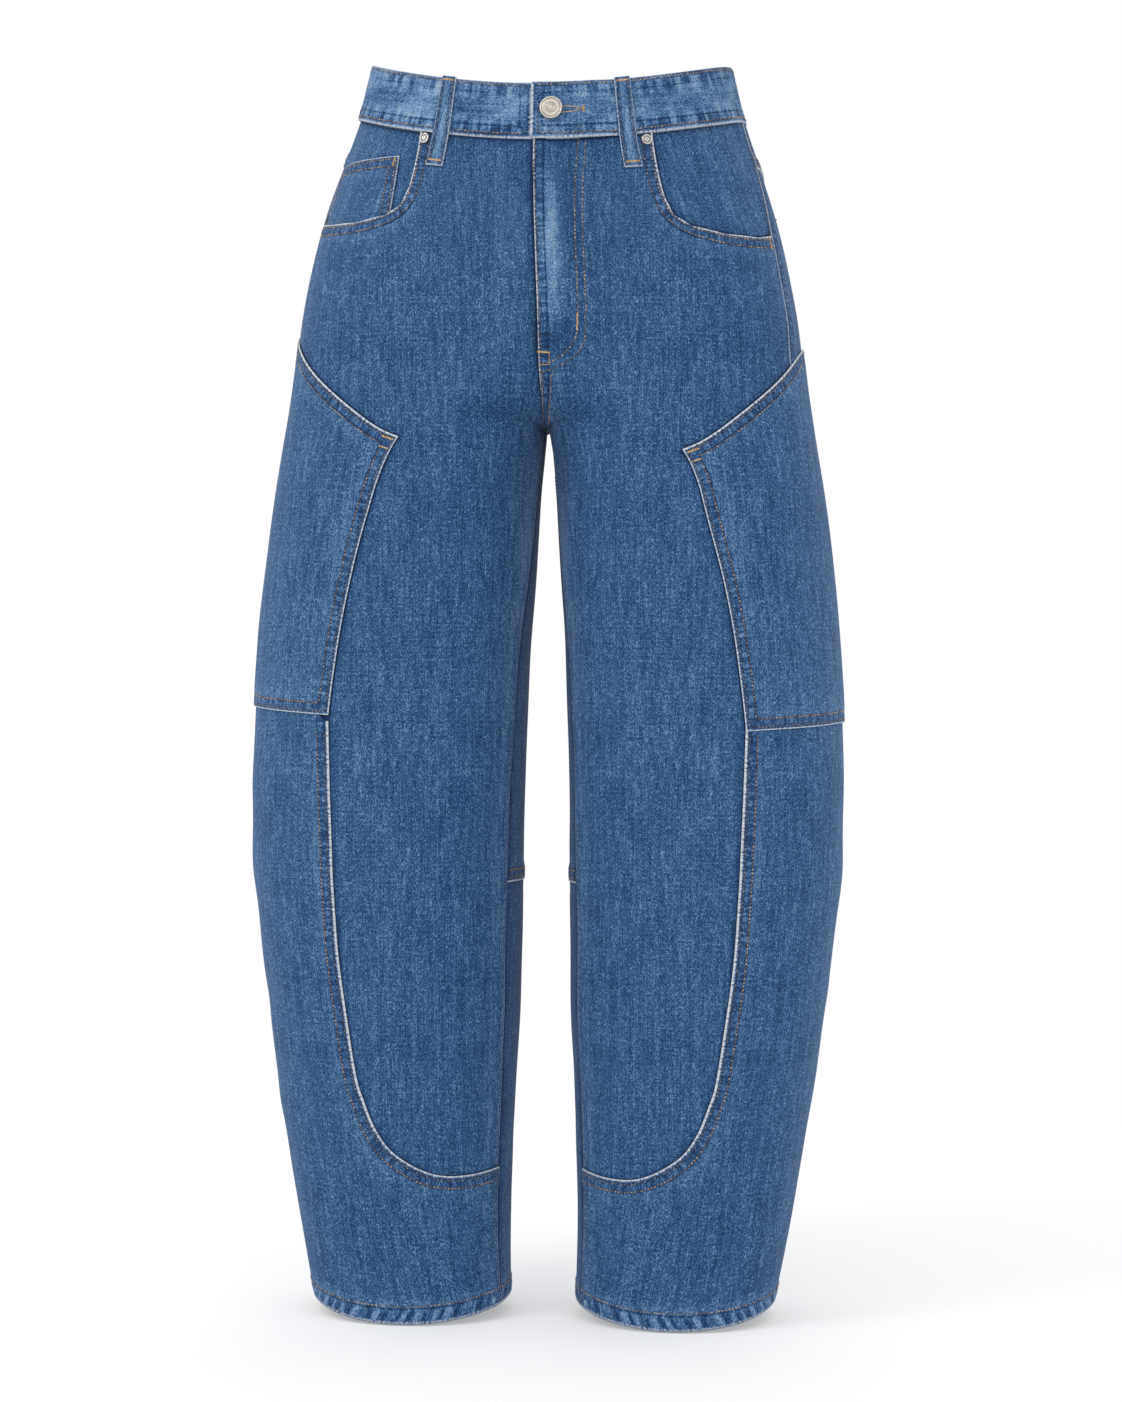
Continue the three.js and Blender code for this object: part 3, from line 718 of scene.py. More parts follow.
def tone_of(panel, angle, height):
    """How much lighter or darker the cloth is at each place."""
    total = np.zeros(np.shape(angle)) + value_at(panel.tone, angle, height)
    if panel.whole:
        return total
    across = across_cloth(angle, height)
    if panel.name == "front_left":
        from_edge = across - across_cloth(front_edge(height), height)
        for patch in named_rows(FLY_TONE_COLUMNS, FLY_TONES):
            total = total + faded(patch, from_edge - patch["across"], height, 4)
    for patch in named_rows(TONE_COLUMNS, TONES["both"] + TONES[panel.side]):
        start = across_cloth(np.array(float(patch["angle"])), height)
        total = total + faded(patch, across - start, height, 2)
    return total


PLUMB = 92


def across_ring(angle, height):
    """Millimetres round the whole ring from straight ahead, past the back and past the front again."""
    half = across_cloth(np.full(np.shape(angle), 180.0), height)
    turn = np.where(angle > 360, angle - 360, np.abs(angle))
    near = across_cloth(np.where(turn > 180, 360 - turn, turn), height)
    round_it = np.where(turn > 180, 2 * half - near, near)
    return np.where(angle > 360, 2 * half + round_it, np.sign(angle) * round_it)


def upright(back):
    """Where a plumb line down the front or the back of a leg lies round the cloth, by height."""
    angles = np.arange(150.0, 240, 0.5)[::-1] if back else np.arange(-60.0, 45, 0.5)
    found = [np.interp(PLUMB, surface(angles, np.full(len(angles), h))[:, 0], angles) for h in HEIGHTS]
    return across_cloth(np.array(found), HEIGHTS)


UPRIGHT = {"front": upright(False), "back": upright(True)}


def grain_start(panel, height):
    """Where the grain of a panel starts round the cloth, by height."""
    if panel.grain in UPRIGHT:
        return np.interp(height, HEIGHTS, UPRIGHT[panel.grain])
    across = across_ring if panel.whole else across_cloth
    return across(np.full(np.shape(height), float(panel.grain)), height)


FAR = 60.0
AT_EDGE = 0.4
RIM_THINNING = 0.45
CROSSES = 0.5  # a panel with an edge that reaches farther may cross the middle
LOOKS = {"worn": FAR, "run": 0.0, "seam": FAR, "wear": 0.0, "strip": FAR, "pucker": 0.0, "shade": FAR}


def looks_beside(panel, found, count):
    """What the material reads at each place about the lines beside it."""
    looks = {key: np.full(count, start) for key, start in LOOKS.items()}
    under = np.ones(count, bool)
    for one, (apart, at, aside) in zip(panel.lines, found):
        if one["edge"]:
            looks["seam"] = np.minimum(looks["seam"], apart)
        else:
            under &= aside < 0
        if one["shade"] > 0:
            looks["shade"] = np.minimum(looks["shade"], apart / one["shade"])
        closer = (apart < looks["worn"]) & (one["wear"] > 0)
        slant = ROPE["slant"] * apart if one["hem"] else 0
        here = {"worn": apart, "run": at + slant, "wear": one["wear"],
                "strip": apart / one["broad"], "pucker": one["pucker"]}
        for key, value in here.items():
            looks[key] = np.where(closer, value, looks[key])
    if not all(one["edge"] for one in panel.lines):
        looks["shade"] = np.where(under, -looks["shade"], looks["shade"])
    return looks


def steps_in(panel, found, count):
    """How far each place on an open edge moves in, or out where that is negative."""
    step = np.full(count, SEAM / 2)
    for one, (apart, _, _) in zip(panel.lines, found):
        if one["edge"]:
            step = np.where(apart < AT_EDGE, -one["reach"], step)
    return step


def stepped_back(places, normals, rim, step):
    """The places, with each one on an open edge moved by its step."""
    total = np.zeros_like(places)
    way = unit(places[rim[:, 1]] - places[rim[:, 0]])
    for corner in (rim[:, 0], rim[:, 1]):
        np.add.at(total, corner, unit(np.cross(normals[corner], way)))
    spread = np.maximum((total**2).sum(-1) / 2, 0.5)
    return places + total * (step / spread)[:, None]


def closed_faces(faces, rim, count, mirrored):
    """The outer faces, the inner ones and the sides between them."""
    a, b = rim.T
    sides = np.stack([b, a, a + count, b + count], -1)
    every = np.concatenate([faces, faces[:, ::-1] + count, sides])
    return every[:, ::-1] if mirrored else every


def both_faces(panel, angle, height, rim, found):
    """Places on the outer face, then on the inner one, in the finished frame."""
    places, normals = panel.locate(angle, height)
    off = value_at(panel.out, angle, height) + panel.relief(angle, height, found)
    half = np.full(len(places), panel.thick / 2)
    half[rim.ravel()] = panel.thick / 2 * (1 - RIM_THINNING)
    places = stepped_back(places, normals, rim, steps_in(panel, found, len(places)))
    both = np.concatenate([places + normals * (off + way * half)[:, None] for way in (1, -1)])
    if not panel.whole and not any(one["reach"] > CROSSES for one in panel.lines):
        both[:, 0] = np.maximum(both[:, 0], SEAM / 2)
    return twisted(on_side(both, panel.side), both[:, 2])


def cloth_places(panel, angle, height):
    """Millimetres round and down the cloth, or down and round where it is cut crosswise."""
    across = (across_ring if panel.whole else across_cloth)(angle, height)
    uv = np.stack([across - grain_start(panel, height), height], -1)
    return uv[:, ::-1] if panel.crosswise else uv


def cloth(panel):
    """The panel's outer face, inner face and rim as one thin closed piece."""
    points, faces = stitched(panel.grids)
    angle, height = points.T
    count = len(points)
    found = panel.nearest(panel.locate(angle, height)[0])
    rim = open_edges(faces, count)
    both = both_faces(panel, angle, height, rim, found)
    every = closed_faces(faces, rim, count, panel.side == "right")
    numbers = looks_beside(panel, found, count)
    numbers["tone"] = tone_of(panel, angle, height)
    numbers["blotch"] = np.full(count, panel.blotch)
    numbers = {key: np.tile(value, 2) for key, value in numbers.items()}
    numbers["inside"] = np.repeat([0.0, 1.0], count)
    uv = np.tile(cloth_places(panel, angle, height), (2, 1))
    piece = new_piece(f"{panel.name}_cloth", both, every.tolist(), FACE, uv=uv, numbers=numbers)
    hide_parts(panel.name)
    return piece


# Threads: each stitch is a small capsule that dips into the cloth at both ends.
STITCH = {"pitch": 2.9, "length": 2.3, "radius": 0.5, "lift": 0.12}
TACK = {"pitch": 0.55, "width": 1.8, "radius": 0.34, "lift": 0.2, "lean": 0.25}
CAPSULE = {"shoulder": 0.62, "flat": 0.8, "dip": 0.7}
RING = 6


def resampled(points, count):
    """A chain of few points, with more of them."""
    return along(points, np.linspace(0, 1, count)) if len(points) < count else np.asarray(points)


def at_run(values, run, where):
    return np.stack([np.interp(where, run, column) for column in values.T], -1)


def capsule_faces():
    faces = []
    for k in range(RING):
        n = (k + 1) % RING
        faces.append([0, 1 + k, 1 + n])
        faces.append([1 + k, 1 + RING + k, 1 + RING + n, 1 + n])
        faces.append([1 + RING + k, 1 + 2 * RING, 1 + RING + n])
    return faces


class Threads:
    """Gathers stitches, then makes them one piece."""

    def __init__(self, name, material):
        self.name, self.material = name, material
        self.stitches = []

    def add(self, centres, ways, ups, length, radius):
        count = len(centres)
        sizes = np.full(count, length / 2), np.full(count, radius)
        self.stitches.append((centres, unit(ways), unit(ups), *sizes))

    def row(self, panel, points, pitch=STITCH["pitch"], length=STITCH["length"], radius=STITCH["radius"]):
        """Stitches one after another along a line of angle and height."""
        places, normals = panel.skin(resampled(points, 60), STITCH["lift"])
        run = run_length(places)
        count = max(int(run[-1] / pitch), 1)
        at = (np.arange(count) + 0.5) * run[-1] / count
        starts, ends = (np.clip(at + way * pitch / 2, 0, run[-1]) for way in (-1, 1))
        ways = at_run(places, run, ends) - at_run(places, run, starts)
        self.add(at_run(places, run, at), ways, at_run(normals, run, at), length, radius)

    def beside(self, panel, points, distance, trim=(0, 0), **size):
        """A row beside a line."""
        self.row(panel, beside(panel, points, distance, trim), **size)

    def bar(self, panel, start, end, width=TACK["width"], radius=TACK["radius"]):
        """A bartack: close stitches across the line from start to end."""
        reach = np.linalg.norm(np.diff(panel.skin([start, end], 0.0)[0], axis=0))
        count = max(int(reach / TACK["pitch"]), 3)
        places, normals = panel.skin(straight(start, end, np.linspace(0, 1, count)), TACK["lift"])
        forward = unit(np.gradient(places, axis=0))
        self.add(places, np.cross(normals, forward) + forward * TACK["lean"], normals, width, radius)

    def make(self):
        centre, way, up, half, radius = (np.concatenate(column) for column in zip(*self.stitches))
        aside = unit(np.cross(way, up))
        turns = np.arange(RING) * 2 * math.pi / RING
        rings, tips = [], []
        for share in (-CAPSULE["shoulder"], CAPSULE["shoulder"]):
            ring = [centre + way * (half * share)[:, None] + aside * (radius * math.cos(t))[:, None]
                    + up * (radius * CAPSULE["flat"] * math.sin(t))[:, None] for t in turns]
            rings.append(np.stack(ring, 1))
        for end in (-1, 1):
            tip = centre + way * (half * end)[:, None] - up * (radius * CAPSULE["dip"])[:, None]
            tips.append(tip[:, None])
        places = np.concatenate([tips[0], rings[0], rings[1], tips[1]], 1)
        each = places.shape[1]
        faces = capsule_faces()
        every = [[corner + each * i for corner in face] for i in range(len(centre)) for face in faces]
        tone = np.repeat(np.sin(np.arange(len(centre)) * 12.9898) * 43758.5453 % 1, each)
        return new_piece(self.name, places.reshape(-1, 3), every, self.material, numbers={"tone": tone})


def spacing(panel, angle, height, round_by, up_by):
    """Millimetres on the panel for a step of that angle and height."""
    step = 0.25
    ahead = panel.locate(angle + round_by * step, height + up_by * step)[0]
    behind = panel.locate(angle - round_by * step, height - up_by * step)[0]
    return np.linalg.norm((ahead - behind) / (2 * step), axis=-1)


def beside(panel, points, distance, trim=(0, 0)):
    """The line of angle and height that runs beside another, so many millimetres to its right
    hand seen from outside (heading down is to the wearer's right of it)."""
    angle, height = resampled(points, 80).T
    per_degree, per_height = (spacing(panel, angle, height, *way) for way in ((1, 0), (0, 1)))
    degree = per_degree.mean()
    way = unit(np.gradient(np.stack([angle * degree, height], -1), axis=0))
    moved = np.stack([angle + way[:, 1] * distance / per_degree,
                      height - way[:, 0] * distance / per_height], -1)
    steps = np.hypot(np.diff(moved[:, 0]) * degree, np.diff(moved[:, 1]))
    length = np.concatenate([[0], np.cumsum(steps)])
    return moved[(length >= trim[0]) & (length <= length[-1] - trim[1])]


class Value:
    """A node's output, which adds, subtracts and multiplies as a number does."""

    def __init__(self, nodes, socket):
        self.nodes, self.socket = nodes, socket

    def __add__(self, other):
        return self.nodes.math("ADD", self, other)

    def __sub__(self, other):
        return self.nodes.math("SUBTRACT", self, other)

    def __mul__(self, other):
        return self.nodes.math("MULTIPLY", self, other)


def opaque(color):
    return color if isinstance(color, Value) else (*color, 1)


class Nodes:
    """A material, made from small node helpers."""

    def __init__(self, name):
        self.material = bpy.data.materials.new(name)
        self.material.use_nodes = True
        self.tree = self.material.node_tree
        self.tree.nodes.clear()
        self.shader = self.tree.nodes.new("ShaderNodeBsdfPrincipled")
        output = self.tree.nodes.new("ShaderNodeOutputMaterial")
        self.tree.links.new(self.shader.outputs[0], output.inputs[0])

    def join(self, value, socket):
        if isinstance(value, Value):
            self.tree.links.new(value.socket, socket)
        else:
            socket.default_value = value

    def add(self, kind, inputs, output=0, **settings):
        """A new node with its settings and inputs. Gives the value of its output."""
        node = self.tree.nodes.new(kind)
        for key, setting in settings.items():
            setattr(node, key, setting)
        for key, value in inputs.items():
            self.join(value, node.inputs[key])
        return Value(self, node.outputs[output])

    def number(self, name):
        return self.add("ShaderNodeAttribute", {}, "Fac", attribute_name=name)

    def uv(self):
        return self.add("ShaderNodeUVMap", {}, uv_map="cloth")

    def object_place(self):
        return self.add("ShaderNodeTexCoord", {}, "Object")

    def math(self, kind, one, other=0.0):
        return self.add("ShaderNodeMath", {0: one, 1: other}, operation=kind)

    def off(self, value, middle):
        """How far a value is from the middle."""
        return self.math("ABSOLUTE", value - middle)

    def distance(self, place):
        return self.add("ShaderNodeVectorMath", {0: place}, "Value", operation="LENGTH")

    def ramp(self, value, low, high, start=0.0, end=1.0):
        inputs = {"Value": value, "From Min": low, "From Max": high, "To Min": start, "To Max": end}
        return self.add("ShaderNodeMapRange", inputs, interpolation_type="SMOOTHSTEP")

    def band(self, value, rise, fall):
        """One between the rise and the fall, each given by where it starts and ends."""
        return self.ramp(value, *rise) * self.ramp(value, *fall, 1.0, 0.0)

    def mix(self, share, one, other):
        inputs = {0: share, 6: opaque(one), 7: opaque(other)}
        return self.add("ShaderNodeMix", inputs, 2, data_type="RGBA")

    def scaled(self, vector, x, y, z=1.0, turn=0.0):
        inputs = {"Scale": (x, y, z), "Rotation": (0, 0, math.radians(turn)), "Vector": vector}
        return self.add("ShaderNodeMapping", inputs)

    def noise(self, vector, scale, detail, rough):
        inputs = {"Scale": scale, "Detail": detail, "Roughness": rough, "Vector": vector}
        return self.add("ShaderNodeTexNoise", inputs)

    def noise_along(self, length, detail, rough):
        inputs = {"Scale": 1.0, "Detail": detail, "Roughness": rough, "W": length}
        return self.add("ShaderNodeTexNoise", inputs, noise_dimensions="1D")

    def wave(self, vector, scale, distortion=0.0, detail_scale=1.0):
        inputs = {"Scale": scale, "Distortion": distortion, "Detail Scale": detail_scale, "Vector": vector}
        return self.add("ShaderNodeTexWave", inputs, "Fac", bands_direction="X")

    def bump(self, height, strength, distance, normal=None):
        inputs = {"Strength": strength, "Distance": distance, "Height": height}
        if normal is not None:
            inputs["Normal"] = normal
        return self.add("ShaderNodeBump", inputs)

    def finish(self, color, roughness, normal=None, **constants):
        inputs = {"Base Color": opaque(color), "Roughness": roughness}
        if normal is not None:
            inputs["Normal"] = normal
        for key, value in inputs.items():
            self.join(value, self.shader.inputs[key])
        for key, value in constants.items():
            self.shader.inputs[key.replace("_", " ")].default_value = value
        return self.material


DENIM = {
    "dark": (0.005, 0.025, 0.080),
    "blue": (0.022, 0.080, 0.200),
    "pale": (0.125, 0.230, 0.400),
    "bleached": (0.300, 0.385, 0.500),
    "white": (0.66, 0.68, 0.70),
    "back": (0.27, 0.33, 0.41),
}
HEM_PUCKER = (2.2, 3.0)


def grain_light(n, uv, tone):
    """The yarns, the wash's crackle and mottling, and the thin pale fibres on the face."""
    def layer(x, y, detail, rough):
        return n.noise(n.scaled(uv, x, y), 1.0, detail, rough)

    slub, yarn = layer(820, 44, 2.0, 0.6), layer(1150, 640, 2.0, 0.6)
    crackle, cloud = layer(210, 160, 4.0, 0.7), layer(34, 22, 3.0, 0.6)
    light = (slub - 0.5) * 1.3 + (yarn - 0.5) * 3.8 + (crackle - 0.5) * 0.7
    light = light + (cloud - 0.5) * n.number("blotch")
    fibre = n.ramp(n.off(layer(420, 260, 2.0, 0.5), 0.5), 0.0, 0.045, 1.0, 0.0)
    light = light + fibre * n.ramp(crackle, 0.30, 0.60, 0.50, 0.85)
    streak, stripe = layer(330, 26, 2.0, 0.55), layer(170, 5, 2.0, 0.5)
    light = light + (streak - 0.5) * 0.9 + (stripe - 0.5) * 0.55
    return light - 0.20 + tone, slub, yarn


def wide_puckers(n, worn, run, pucker):
    """The waistband puckers more widely and softly."""
    wide = n.ramp(n.noise_along(run * 0.12, 2.0, 0.55), 0.36, 0.64) - 0.45
    return wide * n.band(worn, (2.0, 5.0), (7.0, 19.0)) * n.ramp(pucker, 1.0, 2.0, 0.0, 1.05)


def hem_light(n, light, worn, run, pucker):
    """The hem's slanted ropes, its band, painted shade in the groove of its row of stitches and the paler
    cloth above it.
    """
    def at_hem(amount):
        return n.ramp(pucker, *HEM_PUCKER, 0.0, amount)

    drift = n.math("SINE", run * (1 / ROPE["wander"])) * ROPE["drift"]
    rope = n.math("SINE", run * (1 / ROPE["pitch"]) + drift)
    light = light + rope * n.band(worn, (1.0, 3.0), (9.0, 12.0)) * at_hem(0.40)
    light = light + n.band(worn, (1.0, 3.0), (10.5, 12.0)) * at_hem(0.16)
    # The hem's row of stitches is darkened with painted shade in its groove.
    light = light - n.ramp(n.off(worn, ROWS["hem"]), 0.3, 1.2, 1.0, 0.0) * at_hem(0.45)
    return light + n.band(worn, (13.0, 14.5), (15.0, 24.0)) * at_hem(0.22)


def seam_light(n, light, worn, wear, pucker, ticks, between):
    """The puckers between two rows of stitches, painted shade in the rows' own grooves and a pale halo
    beyond.
    """
    light = light + ticks * between * 0.62 - between * 0.07
    # Each row's groove is darkened with painted shade.
    for row in (ROWS["first"], ROWS["second"]):
        groove = n.ramp(n.off(worn, row), 0.3, 1.0, 1.0, 0.0) * n.band(pucker, (0.0, 0.5), HEM_PUCKER)
        light = light - groove * n.ramp(wear, 0.1, 0.6, 0.0, 0.75)
    halo = n.band(worn, (9.0, 11.0), (12.0, 24.0))
    return light + halo * (n.ramp(wear, 0.1, 0.9, 0.0, 0.17) + ticks * 0.12)


def rubbed(n, worn, run, wear, pucker, yarn):
    """How white the fold itself is rubbed."""
    rub = n.noise_along(run * 0.5, 2.0, 0.6)
    white = n.ramp(n.number("strip") - (rub * 1.3 + 0.15), -0.5, 0.2, 1.0, 0.0)
    white = white * (wear * n.ramp(rub, 0.3, 0.55, 0.5, 1.0)) * n.ramp(yarn, 0.3, 0.55, 0.7, 1.0)
    return white * n.ramp(worn, 0.3, 1.3, n.ramp(pucker, *HEM_PUCKER, 1.0, 0.25), 1.0)


def weave(n, uv, slub, puckers):
    """Twill lines that run up to the right, over the slubs and puckers."""
    twill = n.wave(n.scaled(uv, 1, 1, 1, -62), 330, 1.4, 90)
    threads = n.noise(n.scaled(uv, 1500, 700), 1.0, 2.0, 0.6)
    fine = n.bump(twill * 0.5 + threads, 0.5, 0.00028)
    return n.bump(slub * 0.8 + puckers * 1.6, 0.55, 0.0006, fine)


def denim(name):
    n = Nodes(name)
    uv = n.uv()
    worn, run, wear, pucker = (n.number(key) for key in ("worn", "run", "wear", "pucker"))
    light, slub, yarn = grain_light(n, uv, n.number("tone"))
    # Beside a folded edge the cloth puckers, light and dark by turns along the seam.
    ticks = n.ramp(n.noise_along(run * 0.26, 1.5, 0.5), 0.36, 0.64) - 0.5
    between = n.band(worn, (2.2, 3.4), (8.8, 10.2)) * (n.ramp(wear, 0.1, 0.5) * n.ramp(pucker, 0.0, 1.0))
    between = between * n.ramp(pucker, *HEM_PUCKER, 1.0, 0.25)
    light = light + wide_puckers(n, worn, run, pucker)
    light = hem_light(n, light, worn, run, pucker)
    light = seam_light(n, light, worn, wear, pucker, ticks, between)
    # Beside the seams the cloth is darkened with painted contact shade and grime, and cloth under another
    # piece's edge is darkened with a painted shadow.
    light = light - n.ramp(n.number("seam"), 0.0, 6.0, 1.0, 0.0) * n.ramp(wear, 0.1, 0.5, 0.22, 0.0)
    shade = n.number("shade")
    light = light - (n.ramp(shade, 0.4, 1.9, 1.7, 0.0) + n.ramp(shade, 0.0, 9.0, 0.22, 0.0))
    blue = n.mix(n.ramp(light, -0.75, 0.0), DENIM["dark"], DENIM["blue"])
    blue = n.mix(n.ramp(light, 0.0, 0.85), blue, DENIM["pale"])
    blue = n.mix(n.ramp(light, 0.8, 1.8), blue, DENIM["bleached"])
    color = n.mix(rubbed(n, worn, run, wear, pucker, yarn), blue, DENIM["white"])
    color = n.mix(n.number("inside") * 0.82, color, DENIM["back"])
    rough = n.ramp(light, -0.6, 0.8, 0.80, 0.93)
    normal = weave(n, uv, slub, ticks * between)
    return n.finish(color, rough, normal, Sheen_Weight=0.05, Sheen_Roughness=0.5, Specular_IOR_Level=0.2)


def thread(name, dark, bright):
    n = Nodes(name)
    twist = n.wave(n.scaled(n.object_place(), 1, 1, 1, 30), 900, 0.6)
    color = n.mix(n.ramp(n.number("tone"), 0.1, 0.95), dark, bright)
    # The grooves between the twist's plies are darkened with painted shade.
    groove = n.ramp(twist, 0.0, 0.5, 1.0, 0.0) * 0.35
    color = n.mix(groove, color, tuple(part * 0.4 for part in dark))
    return n.finish(color, 0.62, n.bump(twist, 0.5, 0.0002), Sheen_Weight=0.1)


GRIME = (0.10, 0.075, 0.055)


def metal(name, color, stain):
    n = Nodes(name)
    place = n.object_place()
    cloud = n.noise(place, 500, 4.0, 0.65)
    pits = n.noise(place, 2600, 2.0, 0.6)
    base = n.mix(n.ramp(cloud, 0.35, 0.7), color, stain)
    base = n.mix(n.number("groove"), base, GRIME)
    rough = n.ramp(cloud, 0.3, 0.75, 0.30, 0.52)
    return n.finish(base, rough, n.bump(pits, 0.35, 0.0001), Metallic=0.85)


FACE = denim("washed_denim")
TAN = thread("tan_thread", (0.10, 0.065, 0.045), (0.50, 0.335, 0.19))
GOLD = thread("gold_thread", (0.44, 0.26, 0.10), (0.80, 0.54, 0.26))
DULL = thread("dull_thread", (0.035, 0.035, 0.045), (0.24, 0.20, 0.18))
PALE = thread("pale_thread", (0.06, 0.08, 0.12), (0.25, 0.29, 0.36))
SILVER = metal("aged_silver", (0.68, 0.64, 0.58), (0.52, 0.48, 0.43))
STEEL = metal("rivet_silver", (0.66, 0.65, 0.63), (0.45, 0.44, 0.42))

# How far the left front laps over the right one.
FLY_REACH = 1.3
# The finest steps: shares along each edge of the panels.
FINE = np.linspace(0, 1, 260)
FINER = np.linspace(0, 1, 420)
ROUND_WAIST = np.linspace(0, 1, 800)
# Rows that crowd together where the rise turns under.
RISE_STEPS = 1 - (1 - np.linspace(0, 1, 15)) ** 1.8
HEM_LOOKS = {"lift": 0.45, "wear": 0.6, "hem": True, "broad": 2.8, "pucker": 3.0}
INSEAM_LOOKS = {"lift": 0.5, "reach": 0.15, "wear": 0.8, "broad": 0.8, "pucker": 0}


def edge_line(edge, top, foot, **looks):
    """A line down an edge from one height to another."""
    return line(down(edge, top, foot, FINE), **looks)


def straight_line(start, end, **looks):
    return line(straight(start, end, FINE), **looks)


def mouth_of(side):
    drop = SCOOP_DROP[side]
    points = [(a, h + (drop if i else 0)) for i, (a, h) in enumerate(SCOOP)]
    return points + [spot(side_seam(side), SCOOP_END + drop)]


def slope_front(side):
    return [spot(side_seam(side), APEX), U_SIDE[0]]


def slope_back(side):
    return [spot(side_seam(side), APEX), spot(back_seam, PANEL_CORNER)]


def front_grids(side, seam, mouth):
    corner, mouth_end = mouth[SCOOP_CORNER], mouth[-1]
    near_fly, near_mouth = graded(98, True, True), graded(74, False, True)
    upper, hip = graded(92, True, False), graded(112 + SCOOP_DROP[side], True, False)
    every = joined(near_fly, near_mouth, 98 / 172)
    fly = down(front_edge, PANEL_TOP, corner[1], upper)
    bib_foot = straight(fly[-1], corner, near_fly)
    bib = framed(fly, along(mouth[:SCOOP_CORNER + 1], upper), straight(fly[0], mouth[0], near_fly),
                 bib_foot, near_fly, upper)
    start = down(front_edge, corner[1], RISE_TOP, hip)
    end = down(seam, mouth_end[1], RISE_TOP, hip)
    top = np.concatenate([bib_foot, along(mouth[SCOOP_CORNER:], near_mouth)[1:]])
    hips = framed(start, end, top, straight(start[-1], end[-1], every), every, hip)
    outer, inner = (down(edge, RISE_TOP, CROTCH, RISE_STEPS) for edge in (seam, front_edge))
    rises = closing(outer, inner, 1 - every[::-1])[:, ::-1]
    thigh, slope, calf = graded(CROTCH - APEX), graded(APEX - PATCH_END), graded(350, False, True)
    thighs = ruled(down(inseam, CROTCH, APEX, thigh), down(seam, CROTCH, APEX, thigh), every)
    slopes = ruled(down(inseam, APEX, PATCH_END, slope), along(slope_front(side), slope), every)
    start = down(inseam, PATCH_END, U_END, calf)
    calves = framed(start, along(U_SIDE_LINE, calf), straight(start[0], U_SIDE[0], every),
                    along(U_FOOT_LINE[::-1], every), every, calf)
    rises[-1, 0] = thighs[0, 0]
    return [bib, hips, rises, thighs, slopes, calves]


def front(side):
    seam, mouth = side_seam(side), mouth_of(side)
    top, start, _, _ = patch_edges(side)
    waist = straight(spot(front_edge, PANEL_TOP), mouth[0], np.linspace(0, 1, 90))
    fly = {"lift": 1.3, "reach": -FLY_REACH, "wear": 0.8, "broad": 2.6}
    under_fly = {"lift": -0.15, "reach": 3.0, "shade": 1.0}
    lines = [
        line(rounded(mouth, FINE), lift=-0.15, wear=1.0, broad=1.7),
        edge_line(inseam, CROTCH, U_END, **INSEAM_LOOKS),
        edge_line(seam, mouth[-1][1], -260, lift=0.1),
        line(along(U_LINE, FINE), lift=-0.25, shade=1.0),
        line(waist, shade=1.6),
        line(rounded(top, FINE, 2), shade=0.8, edge=False),
        line(start[::-1], shade=0.8, edge=False),
        edge_line(front_edge, PANEL_TOP, CROTCH, **(fly if side == "left" else under_fly)),
    ]
    return Panel(f"front_{side}", front_grids(side, seam, mouth), lines, side, grain="front")


def side_lower(side):
    calf, turn = graded(314), graded(142, False, True)
    turn_angle, turn_top = U_SIDE[-1]
    rows = joined(calf, turn, 314 / 456)
    turned_side = down(turn_angle, turn_top, HEM, turn)
    start = np.concatenate([along(U_SIDE_LINE, calf), turned_side[1:]])
    over, back = graded(72, True, False), graded(128, False, True)
    columns = joined(over, back, 72 / 200)
    top = np.concatenate([along(slope_front(side)[::-1], over), along(slope_back(side), back)[1:]])
    inner_foot, turn_foot, outer_foot = spot(inseam, HEM), (turn_angle, HEM), spot(back_seam, HEM)
    main = framed(start, down(back_seam, PANEL_CORNER, HEM, rows), top,
                  straight(turn_foot, outer_foot, columns), columns, rows)
    cuff_columns = graded(100, True, False)
    cuff = framed(down(inseam, U_END, HEM, turn), turned_side, along(U_FOOT_LINE[::-1], cuff_columns),
                  straight(inner_foot, turn_foot, cuff_columns), cuff_columns, turn)
    lines = [
        line(along(U_LINE, FINER), lift=0.95, reach=0.8, wear=0.95, broad=1.3),
        edge_line(back_seam, PANEL_CORNER, HEM, lift=0.7, reach=0.6, wear=0.6),
        edge_line(inseam, U_END, HEM, **INSEAM_LOOKS),
        straight_line(inner_foot, outer_foot, **HEM_LOOKS),
    ]
    return Panel(f"side_lower_{side}", [main, cuff], lines, side, grain=60)


def middle_line(side, top, foot):
    """The seam down the middle of the back, where the left side laps over the right."""
    looks = {"lift": 0.95, "reach": 0.8, "wear": 0.8} if side == "left" else {}
    return edge_line(back_edge, top, foot, **looks)


